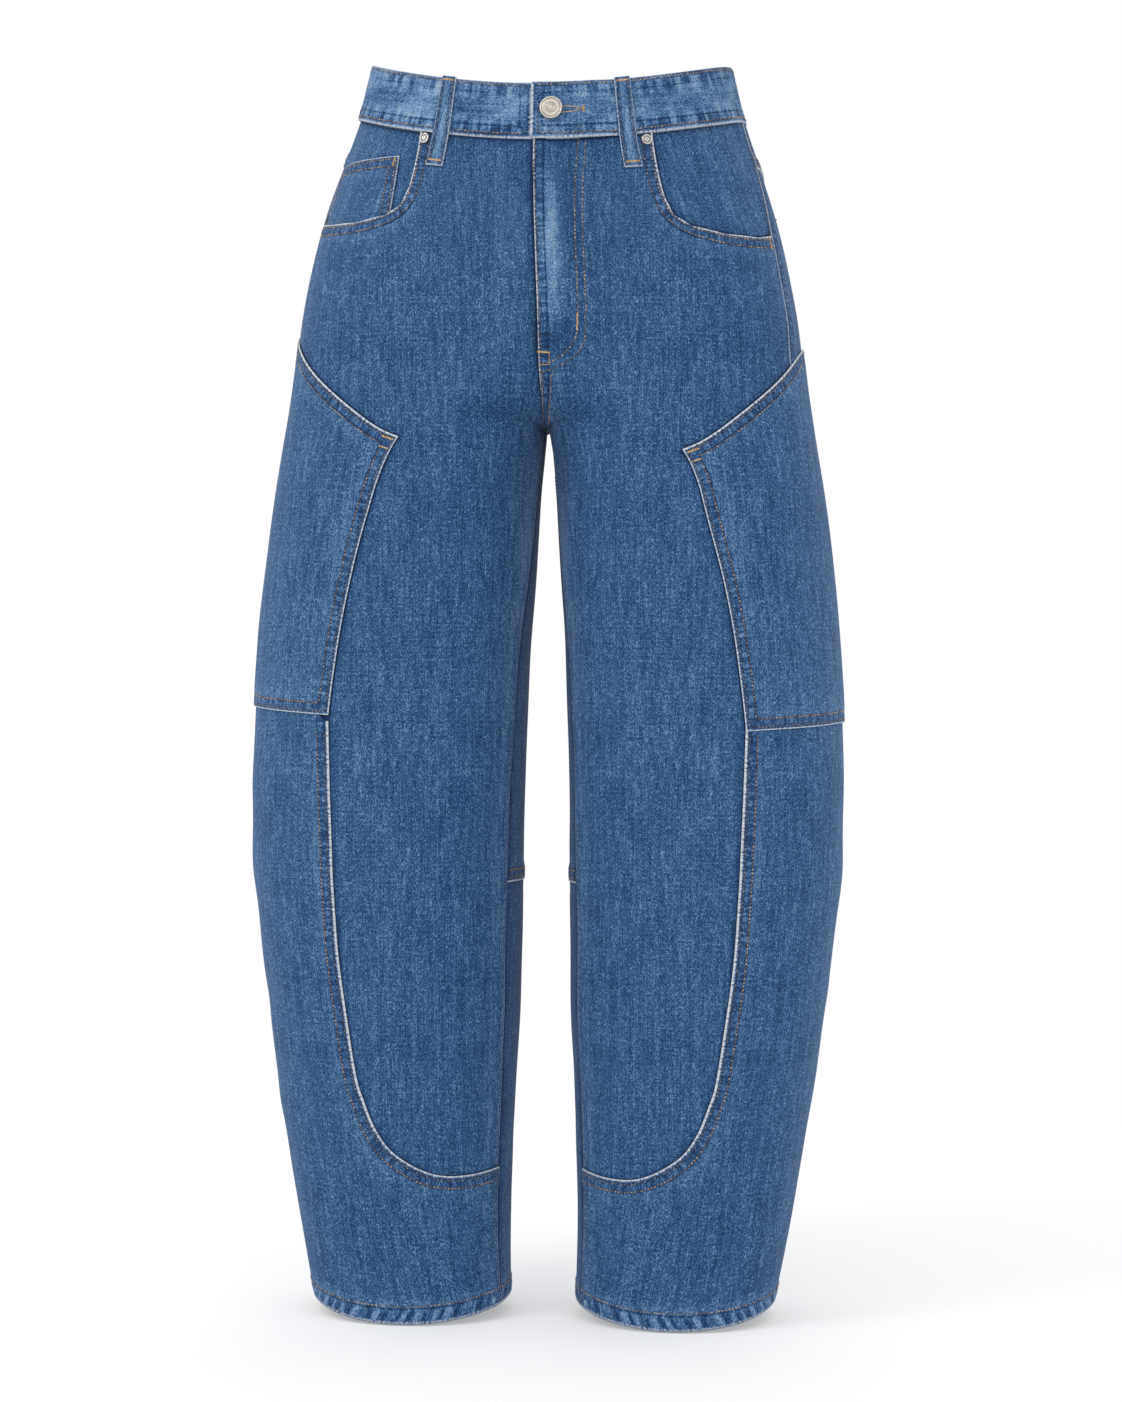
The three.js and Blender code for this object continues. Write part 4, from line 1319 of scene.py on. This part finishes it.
def back_upper(side):
    seam = side_seam(side)
    columns, hip = graded(240, True, True), graded(160, True, False)
    thigh, slope, knee = graded(CROTCH - APEX), graded(90), graded(125, False, True)
    outer, inner = down(seam, YOKE["side"], RISE_TOP, hip), down(back_edge, YOKE["middle"], RISE_TOP, hip)
    rise_outer, rise_inner = (down(edge, RISE_TOP, CROTCH, RISE_STEPS) for edge in (seam, back_edge))
    below = [
        (down(seam, CROTCH, APEX, thigh), down(back_edge, CROTCH, APEX, thigh)),
        (along(slope_back(side), slope), down(back_edge, APEX, BACK_LEVEL, slope)),
        (down(back_seam, PANEL_CORNER, KNEE, knee), down(back_edge, BACK_LEVEL, KNEE, knee)),
    ]
    grids = [ruled(outer, inner, columns), closing(rise_outer, rise_inner, columns)]
    grids += [ruled(start, end, columns) for start, end in below]
    grids[1][-1, -1] = grids[2][0, -1]
    lines = [
        edge_line(seam, YOKE["side"], -245, lift=0.45, reach=0.1, wear=0.55),
        straight_line(outer[0], inner[0], lift=-0.1),
        edge_line(back_seam, PANEL_CORNER, KNEE, lift=-0.2),
        edge_line(back_edge, CROTCH - 2, KNEE, lift=0.2, shade=1.3),
        straight_line(spot(back_seam, KNEE), spot(back_edge, KNEE), lift=0.9, reach=0.8, wear=0.85),
        middle_line(side, YOKE["middle"], CROTCH + 1),
    ]
    return Panel(f"back_upper_{side}", grids, lines, side, grain="back")


def back_lower(side):
    rows, columns = graded(331, True, True), graded(205, True, True)
    outer, inner = down(back_seam, KNEE, HEM, rows), down(back_edge, KNEE, HEM, rows)
    lines = [
        edge_line(back_seam, KNEE, HEM, lift=-0.2),
        edge_line(back_edge, KNEE, HEM, lift=0.2, shade=1.3),
        straight_line(outer[0], inner[0], lift=-0.2),
        straight_line(outer[-1], inner[-1], **HEM_LOOKS),
    ]
    return Panel(f"back_lower_{side}", [ruled(outer, inner, columns)], lines, side, grain="back")


def yoke(side):
    seam = side_seam(side)
    rows, columns = graded(50, True, True), graded(235, True, True)
    outer = down(seam, PANEL_TOP, YOKE["side"], rows)
    inner = down(back_edge, PANEL_TOP, YOKE["middle"], rows)
    lines = [
        edge_line(seam, PANEL_TOP, YOKE["side"], lift=0.45, reach=0.1, wear=0.55),
        straight_line(outer[0], inner[0]),
        straight_line(outer[-1], inner[-1], lift=0.9, reach=0.8, wear=0.85),
        middle_line(side, PANEL_TOP, YOKE["middle"]),
    ]
    return Panel(f"yoke_{side}", [ruled(outer, inner, columns)], lines, side, grain="back")


def patch_edges(side):
    """The side patch's top, front edge, foot and back edge, as chains."""
    chains = (PATCH_TOP, down(patch_front, PATCH_TOP[0][1], PATCH_END, FINE),
              PATCH_FOOT, down(patch_back, PATCH_TOP[-1][1], PATCH_FOOT[-1][1], FINE))
    return [np.asarray(chain, float) + [0, PATCH_DROP[side]] for chain in chains]


def side_patch(side):
    top, start, foot, end = patch_edges(side)
    columns, rows = graded(225, True, True), graded(235, True, True)
    grid = framed(along(start, rows), along(end, rows), rounded(top, columns, 2), along(foot, columns),
                  columns, rows)
    lines = [
        line(rounded(top, FINE, 2), lift=-0.35, wear=1.0, broad=1.8),
        line(start, lift=-0.35, wear=1.0),
        line(along(foot, FINE), lift=-0.35, wear=1.0),
        line(end, lift=-0.35, wear=0.9),
    ]
    return Panel(f"side_patch_{side}", [grid], lines, side, CLOTH + PATCH_LAP, grain=75, tone=0.05)


def facing(side):
    layers = 2 if side == "right" else 1
    drop = SCOOP_DROP[side]
    foot, settles = FACING["foot"] + drop, (SCOOP_END + drop, SCOOP_END + drop + 9)
    rows, columns = graded(108), graded(130)
    seam = side_seam(side)
    start = down(FACING["front"], PANEL_TOP, foot, rows)
    end = down(lambda h: seam(h) - 0.15, PANEL_TOP, foot, rows)
    below = layers * (CLOTH + LAP) + LAP

    def out(angle, height):
        near = smooth(across_cloth(angle, height) - across_cloth(seam(height), height), -16, -1)
        return -below + (below - 0.1) * near * smooth(height, *settles)

    lines = [edge_line(seam, PANEL_TOP, foot, shade=0.7),
             line(rounded(mouth_of(side), FINE), shade=1.3, edge=False)]
    return Panel(f"facing_{side}", [ruled(start, end, columns)], lines, side, out,
                 tone=0.06, grain=50, blotch=1.0)


def coin_pocket():
    top, foot = COIN_POCKET["top"], COIN_POCKET["foot"]
    rows, columns = graded(72, True, False), graded(82, True, True)
    start, end = [top[0], foot[0]], [top[1], foot[1]]
    grid = framed(along(start, rows), along(end, rows), straight(*top, columns), straight(*foot, columns),
                  columns, rows)
    lines = [straight_line(*top, lift=-0.1, wear=0.9), line(along(start, FINE), wear=0.6),
             line(along(end, FINE), wear=0.6)]
    return Panel("coin_pocket", [grid], lines, "right", -(CLOTH + LAP), grain=55, tone=0.04)


def fly_shield():
    size, rows = FLY_SHIELD, graded(173)
    start = down(-size["under"], size["top"], size["foot"], rows)
    end = down(size["over"], size["top"], size["foot"], rows)
    return Panel("fly_shield", [ruled(start, end, graded(32))], out=-(CLOTH + 2 * LAP), locate=on_shield,
                 whole=True)


def pocket_edges():
    """The back pocket's top, two sides and pointed foot, as chains."""
    top, foot = BACK_POCKET["top"], BACK_POCKET["foot"]
    return top, [top[0], foot[0]], foot, [top[1], foot[-1]]


def back_pocket(side):
    top, start, foot, end = pocket_edges()
    rows, columns = graded(125, True, True), graded(112, True, True)
    grid = framed(along(start, rows), along(end, rows), straight(*top, columns), along(foot, columns),
                  columns, rows)
    lines = [straight_line(*top, lift=-0.3, wear=0.95)]
    lines += [line(along(edge, FINE), lift=-0.35, wear=0.85) for edge in (start, foot, end)]
    return Panel(f"back_pocket_{side}", [grid], lines, side, CLOTH + PATCH_LAP, grain=128, tone=0.06)


def band_out(angle, height):
    return (BAND + LAP) * (1 - smooth(angle, *BAND_LAP["ease"]))


def waistband():
    columns, rows = graded(815, True, True, 3.2), graded(43, True, True)
    start, end = BAND_LAP["end"], BAND_LAP["under"]
    grid = ruled(down(start, BAND_TOP, BAND_BOTTOM, rows), down(end, BAND_TOP, BAND_BOTTOM, rows), columns)
    top, foot = (straight((start, height), (end, height), ROUND_WAIST) for height in (BAND_TOP, BAND_BOTTOM))
    lines = [
        line(top, wear=0.3, pucker=2.0),
        line(foot, lift=0.35, reach=0.8, wear=0.7, pucker=2.0),
        edge_line(start, BAND_TOP, BAND_BOTTOM, lift=0.2, wear=0.75, broad=2.6, pucker=0.4),
    ]
    return Panel("waistband", [grid], lines, out=band_out, thick=BAND, locate=on_ring, whole=True,
                 tone=0.44, blotch=3.4, crosswise=True)


LOOP_COLUMNS = (0, 0.6, 1.3, 2.2, 3.2, 4.4, 6.25, 8.1, 9.3, 10.3, 11.2, 11.9, 12.5)
LOOP_ANGLES = {
    "loop_front_left": LOOPS["front"], "loop_front_right": -LOOPS["front"],
    "loop_back_left": LOOPS["back"], "loop_back_right": -LOOPS["back"],
    "loop_centre_back": LOOPS["centre_back"],
}


def loop_out(angle, height):
    return BAND / 2 + LAP + LOOP / 2 - LOOP_SIZE["settle"] * (1 - smooth(height, *LOOP_SIZE["settles"]))


def loop_spread(angle):
    """Half a loop's width in degrees."""
    ahead, behind = (on_ring(np.array([angle + way]), np.array([0.0]))[0] for way in (0.5, -0.5))
    return LOOP_SIZE["width"] / 2 / np.linalg.norm(ahead - behind)


def belt_loop(name, angle):
    spread = loop_spread(angle)
    top, foot = LOOP_SIZE["top"], LOOP_SIZE["foot"]
    edges = angle - spread, angle + spread
    left, right = (down(edge, top, foot, graded(74, True, True, 3)) for edge in edges)
    lines = [edge_line(edge, top, foot, wear=0.7, pucker=0, broad=0.7) for edge in edges]
    lines.append(line(straight(left[-1], right[-1], np.linspace(0, 1, 20)), wear=0.8, pucker=0))

    def tone(at, height):
        off = np.abs(at - angle) / spread
        return 0.10 + 0.50 * (1 - smooth(off, 0.25, 0.55)) - 0.45 * np.exp(-(((off - 0.66) / 0.13) ** 2))

    grid = ruled(left, right, np.array(LOOP_COLUMNS) / LOOP_SIZE["width"])
    return Panel(name, [grid], lines, out=loop_out, thick=LOOP, locate=on_ring, whole=True, tone=tone,
                 grain=angle, blotch=1.2)


panels = {}


def make_panel(panel):
    panels[panel.name] = panel
    cloth(panel)


for side in SIDES:
    for make in (front, side_lower, back_upper, back_lower, yoke, side_patch, facing, back_pocket):
        make_panel(make(side))
for make in (coin_pocket, fly_shield, waistband):
    make_panel(make())
for name, angle in LOOP_ANGLES.items():
    make_panel(belt_loop(name, angle))


FIRST, SECOND = ROWS["first"], ROWS["second"]
FAINT = {"distance": -3.4, "radius": 0.36}


def stitch_front(side, threads, faint, bars):
    panel = panels[f"front_{side}"]
    mouth = rounded(mouth_of(side), FINE)
    for distance in (FIRST, SECOND):
        threads.beside(panel, mouth, distance, (2, 3))
    faint.beside(panel, down(inseam, CROTCH - 40, U_END, FINE), FAINT["distance"], (0, 2),
                 radius=FAINT["radius"])
    end = beside(panel, mouth, 0.8)[-6]
    bars.bar(panel, end + [-1.2, -1], end + [-1.4, -SECOND - 1.5])


def stitch_lower(side, threads, faint, dark):
    panel = panels[f"side_lower_{side}"]
    for distance in (FIRST, SECOND):
        rows = dark if distance == FIRST else threads
        rows.beside(panel, along(U_LINE, FINER), -distance, (6, 0))
        threads.beside(panel, down(back_seam, PANEL_CORNER - 12, HEM, FINE), distance, (0, 3))
    faint.beside(panel, down(inseam, U_END - 10, HEM, FINE), FAINT["distance"], (0, 3),
                 radius=FAINT["radius"])
    middle_foot = spot(back_seam, HEM)
    for panel, start, end in ((panel, spot(inseam, HEM), middle_foot),
                              (panels[f"back_lower_{side}"], middle_foot, spot(back_edge, HEM))):
        threads.row(panel, straight(start, end, FINE) + [0, ROWS["hem"]])


def stitch_patch(side, threads, dark, bars):
    panel = panels[f"side_patch_{side}"]
    top, start, foot, back = patch_edges(side)
    edges = ((rounded(top, FINE, 2), 1), (start, -1), (along(foot, FINE), -1), (back, 1))
    for distance in (FIRST, SECOND):
        rows = dark if distance == FIRST else threads
        for edge, way in edges:
            rows.beside(panel, edge, way * distance, (distance, distance))
    corner = start[0]
    bars.bar(panel, corner + [1.6, -2.4], corner + [6.4, 0.4], 1.7)
    bars.bar(panel, corner + [2.2, -9.5], corner + [6.2, -7.2], 1.4)


def stitch_back(side, threads):
    upper, yokes = panels[f"back_upper_{side}"], panels[f"yoke_{side}"]
    low_edge = straight(spot(side_seam(side), YOKE["side"]), spot(back_edge, YOKE["middle"]), FINE)
    knee = straight(spot(back_seam, KNEE), spot(back_edge, KNEE), FINE)
    for distance in (FIRST, SECOND):
        threads.beside(yokes, low_edge, -distance, (1, 3))
        threads.beside(upper, knee, -distance, (1, 1))
        if side == "left":
            threads.beside(upper, down(back_edge, YOKE["middle"], CROTCH + 8, FINE), distance, (0, 2))
            threads.beside(yokes, down(back_edge, PANEL_TOP, YOKE["middle"], FINE), distance, (1, 0))


def stitch_pocket(side, threads, bars):
    panel = panels[f"back_pocket_{side}"]
    top, start, foot, end = pocket_edges()
    for distance in (FIRST, SECOND):
        threads.beside(panel, start, -distance, (1.5, distance))
        threads.beside(panel, end, distance, (1.5, distance))
        threads.beside(panel, foot[:2], -distance, (distance, distance * 0.3))
        threads.beside(panel, foot[1:], -distance, (distance * 0.3, distance))
    for distance in (FIRST, 14):
        threads.beside(panel, top, distance, (1.5, 1.5))
    bars.bar(panel, (102.2, -83), (102.6, -92))
    bars.bar(panel, (147.6, -100), (147.4, -109))


for side in SIDES:
    threads, faint = Threads(f"stitches_{side}", TAN), Threads(f"faint_stitches_{side}", PALE)
    dark, bars = Threads(f"dark_stitches_{side}", DULL), Threads(f"bartacks_{side}", GOLD)
    stitch_front(side, threads, faint, bars)
    stitch_lower(side, threads, faint, dark)
    stitch_patch(side, threads, dark, bars)
    stitch_back(side, threads)
    stitch_pocket(side, threads, bars)
    for gathered in (threads, faint, dark, bars):
        gathered.make()

# The fly's two rows of stitches, as millimetres from the fly's edge and height.
FLY_OUTER = (
    (41, -22), (38.8, -65), (38.3, -110), (38.4, -150), (38.4, -200), (37, -211), (33.3, -217.5),
    (28.7, -222.3), (22.4, -227), (14, -230), (7, -231.4), (0.5, -232),
)
FLY_INNER = (
    (35, -21.5), (32.8, -65), (32.3, -110), (32.3, -150), (32.3, -195), (31, -206), (27, -214), (20, -221),
    (11, -225.5), (0.5, -227.2),
)
# The corners of the bartack at the foot of the fly, in the same measures.
FLY_TACK = ((0.6, -217.5), (9.8, -218.5), (1.5, -226.5), (9.8, -227))
FLY_FOOT = -218
# The stretch of the inner row that is sewn again in heavy gold thread.
FLY_GOLD = slice(186, 204)


def fly_point(across, height):
    """A place given as millimetres from the fly's edge and height, as angle and height."""
    angles = np.linspace(-90, 60, 600)
    edge = across_cloth(front_edge(np.array([height])), np.array([height]))
    round_it = across_cloth(angles, np.full(600, height))
    return np.array([np.interp(edge[0] + across, round_it, angles), height])


def from_fly(rows):
    scale = [PER_DEGREE, 1]
    fine = along(np.array(rows, float) / scale, np.linspace(0, 1, 120)) * scale
    return np.array([fly_point(*place) for place in fine])


BUTTONHOLE = {"start": 7.5, "end": 14.9, "height": 0.2, "spread": 2.6}


def stitch_fly(fly, dark, bars):
    """The fly's edge, its two rows, its tack and the crotch seam."""
    left = panels["front_left"]
    outer, inner = (rounded(from_fly(rows), FINE, 2) for rows in (FLY_OUTER, FLY_INNER))
    fly.row(left, outer)
    fly.row(left, inner)
    bars.row(left, inner[FLY_GOLD], pitch=1.2, length=2.0, radius=0.62)
    dark.beside(left, down(front_edge, PANEL_TOP - 2, FLY_FOOT, FINE), -FIRST, (0, 2))
    seam = down(front_edge, FLY_FOOT - 12, CROTCH + 5, FINE)
    for distance in (FIRST, SECOND):
        fly.beside(left, seam, -distance, (0, 2))
    near, far, near_foot, far_foot = (fly_point(*place) for place in FLY_TACK)
    bars.bar(left, near, far)
    bars.bar(left, near_foot, far_foot, 1.0, 0.22)
    bars.bar(left, far, far_foot, 1.0, 0.22)


def stitch_coin_pocket(fly, bars):
    coin = panels["coin_pocket"]
    top, foot = COIN_POCKET["top"], COIN_POCKET["foot"]
    for distance in (FIRST, SECOND):
        fly.beside(coin, top, distance, (2, 2))
        fly.beside(coin, [top[0], foot[0]], -distance, (distance, 0))
        fly.beside(coin, [top[1], foot[1]], distance, (distance, 0))
    bars.bar(coin, (41.2, -46), (41.0, -54), 1.8)
    bars.bar(coin, (74.6, -62.5), (74.4, -70), 1.8)


def stitch_band(fly, dark):
    band, start = panels["waistband"], BAND_LAP["end"]
    for height in (BAND_TOP - 2.2, BAND_BOTTOM + 3):
        fly.row(band, straight((start + 2, height), (BAND_LAP["under"] - 15, height), ROUND_WAIST))
    dark.row(band, down(start + 2.2, BAND_TOP - 2, BAND_BOTTOM + 3, FINE), pitch=2.4, length=1.9)


def stitch_loops(dark, bars):
    for name, angle in LOOP_ANGLES.items():
        loop, spread = panels[name], loop_spread(angle)
        for share in (-0.62, 0.62):
            dark.row(loop, down(angle + spread * share, LOOP_SIZE["top"] - 1, LOOP_SIZE["foot"] + 1.5, FINE))
        for height in (LOOP_SIZE["top"] - 3, LOOP_SIZE["foot"] + 5):
            bars.bar(loop, (angle - spread * 0.7, height), (angle + spread * 0.7, height), 1.8)


def stitch_buttonhole(hole):
    band = panels["waistband"]
    start, end, middle_height = BUTTONHOLE["start"], BUTTONHOLE["end"], BUTTONHOLE["height"]
    for way in (-1, 1):
        spread = BUTTONHOLE["spread"] * way
        bend = [(start, middle_height + spread), ((start + end) / 2, middle_height + spread * 0.75),
                (end, middle_height + spread * 0.15)]
        hole.row(band, rounded(bend, FINE, 2), pitch=0.62, length=1.25, radius=0.36)
    hole.bar(band, (end, middle_height - 2.2), (end, middle_height + 2.2), 1.6, 0.36)


fly, dark = Threads("fly_stitches", TAN), Threads("fly_edge_stitches", DULL)
bars, hole = Threads("middle_bartacks", GOLD), Threads("buttonhole", GOLD)
stitch_fly(fly, dark, bars)
stitch_coin_pocket(fly, bars)
stitch_band(fly, dark)
stitch_loops(dark, bars)
stitch_buttonhole(hole)
for gathered in (fly, dark, bars, hole):
    gathered.make()


SEGMENTS = 96


def lathe(profile):
    """A round piece turned about +Z from rows of radius and height."""
    turns = np.arange(SEGMENTS) * 2 * math.pi / SEGMENTS
    rings = [np.stack([r * np.cos(turns), r * np.sin(turns), np.full(SEGMENTS, h)], -1) for r, h in profile]
    faces = []
    for low in range(0, (len(profile) - 1) * SEGMENTS, SEGMENTS):
        for k in range(SEGMENTS):
            n = (k + 1) % SEGMENTS
            faces.append([low + k, low + n, low + SEGMENTS + n, low + SEGMENTS + k])
    faces.append(list(range(SEGMENTS))[::-1])
    faces.append([(len(profile) - 1) * SEGMENTS + k for k in range(SEGMENTS)])
    return np.concatenate(rings), faces


def smooth_profile(points):
    """The profile with its corners rounded."""
    points = np.array(points, float)
    for _ in range(2):
        points = np.concatenate([points[:1], corners_cut(points), points[-1:]])
    return points


def seated(name, profile, place, normal, material, node):
    rows = smooth_profile(profile)
    shape, faces = lathe(rows[:, :2])
    turn = np.array(Vector(normal).to_track_quat("Z", "Y").to_matrix())
    groove = np.repeat(rows[:, 2], SEGMENTS)
    piece = new_piece(name, shape @ turn.T + place, faces, material, numbers={"groove": groove})
    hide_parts(node)


def on_waist(angle, height, out):
    """A place so far out from the waist, and its outward direction, in the finished frame."""
    places, normals = on_ring(np.array([float(angle)]), np.array([float(height)]))
    places, normals = finished(places + normals * out, normals)
    return places[0], normals[0]


# Radius, height and how dark the groove is there.
BUTTON_PROFILE = (
    (4.5, 0.0, 0.6), (4.5, 0.9, 0.9), (7.4, 0.8, 0.9), (8.7, 1.3, 0.6), (8.8, 2.3, 0.1), (8.5, 3.1, 0),
    (7.9, 3.35, 0), (7.5, 3.2, 0.1), (7.2, 2.75, 0.75), (6.9, 2.7, 0.6), (6.5, 2.9, 0), (5.6, 2.85, 0),
    (4.4, 2.8, 0), (3.9, 2.7, 0.5), (3.6, 2.75, 0.6), (3.2, 3.1, 0), (2.7, 3.1, 0), (2.4, 2.75, 0.55),
    (2.1, 2.7, 0.4), (1.6, 2.85, 0), (0.02, 2.95, 0),
)
RIVET_PROFILE = (
    (4.2, 0.0, 0.9), (4.3, 0.5, 0.7), (3.9, 1.15, 0.1), (3.3, 1.3, 0), (2.8, 1.05, 0.5), (2.4, 0.8, 0.9),
    (2.0, 0.9, 0.7), (1.6, 1.25, 0), (0.9, 1.35, 0), (0.5, 1.1, 0.5), (0.02, 1.1, 0.6),
)
place, normal = on_waist(BUTTON["angle"], BUTTON["height"], BAND * 1.5 + LAP + SEAM + 0.2)
seated("button_face", BUTTON_PROFILE, place, normal, SILVER, "button")
for side in SIDES:
    turn = 1 if side == "left" else -1
    place, normal = on_waist(turn * RIVET["angle"], RIVET["height"], CLOTH / 2 + SEAM)
    seated(f"rivet_face_{side}", RIVET_PROFILE, place, normal, STEEL, f"rivet_{side}")


# The stage: a white floor under the hems, soft light from the upper left and a level camera.
CAMERA = {"distance": 2.2, "height": -0.485, "azimuth": 5.0, "roll": 0.4, "aside": 0.0106,
          "width": 0.8976, "sensor": 36}
LIGHT_COLUMNS = ("name", "place", "size", "power")
LIGHTS = (
    ("key", (-1.9, -1.6, 1.5), 1.2, 22),
    ("fill", (2.2, -2.4, 0.6), 2.4, 4),
    ("rear", (0.4, 2.6, 1.6), 2.4, 6),
)
AIM = (0, 0, -0.5)
FLOOR = {"below": 0.0012, "half": 40.0, "glow": 0.335, "white": (0.655, 0.655, 0.655),
         "near": 0.45, "far": 1.6}
WORLD = {"color": (1.0, 1.0, 1.0), "strength": 1.0}


def make_floor(height):
    half = FLOOR["half"]
    corners = [(-half, -half, 0), (half, -half, 0), (half, half, 0), (-half, half, 0)]
    mesh = bpy.data.meshes.new("floor")
    mesh.from_pydata(corners, [], [(0, 1, 2, 3)])
    floor = bpy.data.objects.new("floor", mesh)
    floor.location.z = height
    bpy.context.scene.collection.objects.link(floor)
    n = Nodes("white_floor")
    away, reach = n.distance(n.object_place()), (FLOOR["near"], FLOOR["far"])
    paint = n.mix(n.ramp(away, *reach), FLOOR["white"], (0.0, 0.0, 0.0))
    n.join(n.ramp(away, *reach, FLOOR["glow"], 1.0), n.shader.inputs["Emission Strength"])
    mesh.materials.append(n.finish(paint, 0.9, Emission_Color=(1, 1, 1, 1), Specular_IOR_Level=0.0))


def make_lights():
    for one in named_rows(LIGHT_COLUMNS, LIGHTS):
        light = bpy.data.lights.new(one["name"], "AREA")
        light.shape = "DISK"
        light.size = one["size"]
        light.energy = one["power"]
        lamp = bpy.data.objects.new(one["name"], light)
        lamp.location = one["place"]
        aim = Vector(AIM) - Vector(one["place"])
        lamp.rotation_euler = aim.to_track_quat("-Z", "Y").to_euler()
        bpy.context.scene.collection.objects.link(lamp)
    world = bpy.data.worlds.new("white_room")
    world.use_nodes = True
    background = world.node_tree.nodes["Background"]
    background.inputs["Color"].default_value = (*WORLD["color"], 1)
    background.inputs["Strength"].default_value = WORLD["strength"]
    bpy.context.scene.world = world


def make_camera():
    turn = math.radians(CAMERA["azimuth"])
    camera = bpy.data.cameras.new("camera")
    camera.sensor_fit = "HORIZONTAL"
    camera.sensor_width = CAMERA["sensor"]
    camera.lens = CAMERA["sensor"] * CAMERA["distance"] / CAMERA["width"]
    eye = bpy.data.objects.new("camera", camera)
    aside = Vector((math.cos(turn), math.sin(turn), 0)) * CAMERA["aside"]
    back = Vector((math.sin(turn), -math.cos(turn), 0)) * CAMERA["distance"]
    level = Matrix.Rotation(turn, 4, "Z") @ Matrix.Rotation(math.pi / 2, 4, "X")
    rolled = level @ Matrix.Rotation(math.radians(CAMERA["roll"]), 4, "Z")
    eye.matrix_world = Matrix.Translation(back + aside + Vector((0, 0, CAMERA["height"]))) @ rolled
    bpy.context.scene.collection.objects.link(eye)
    bpy.context.scene.camera = eye


bpy.context.scene.view_settings.view_transform = "Standard"
make_floor(CAD_BOX[0][2] - FLOOR["below"])
make_lights()
make_camera()
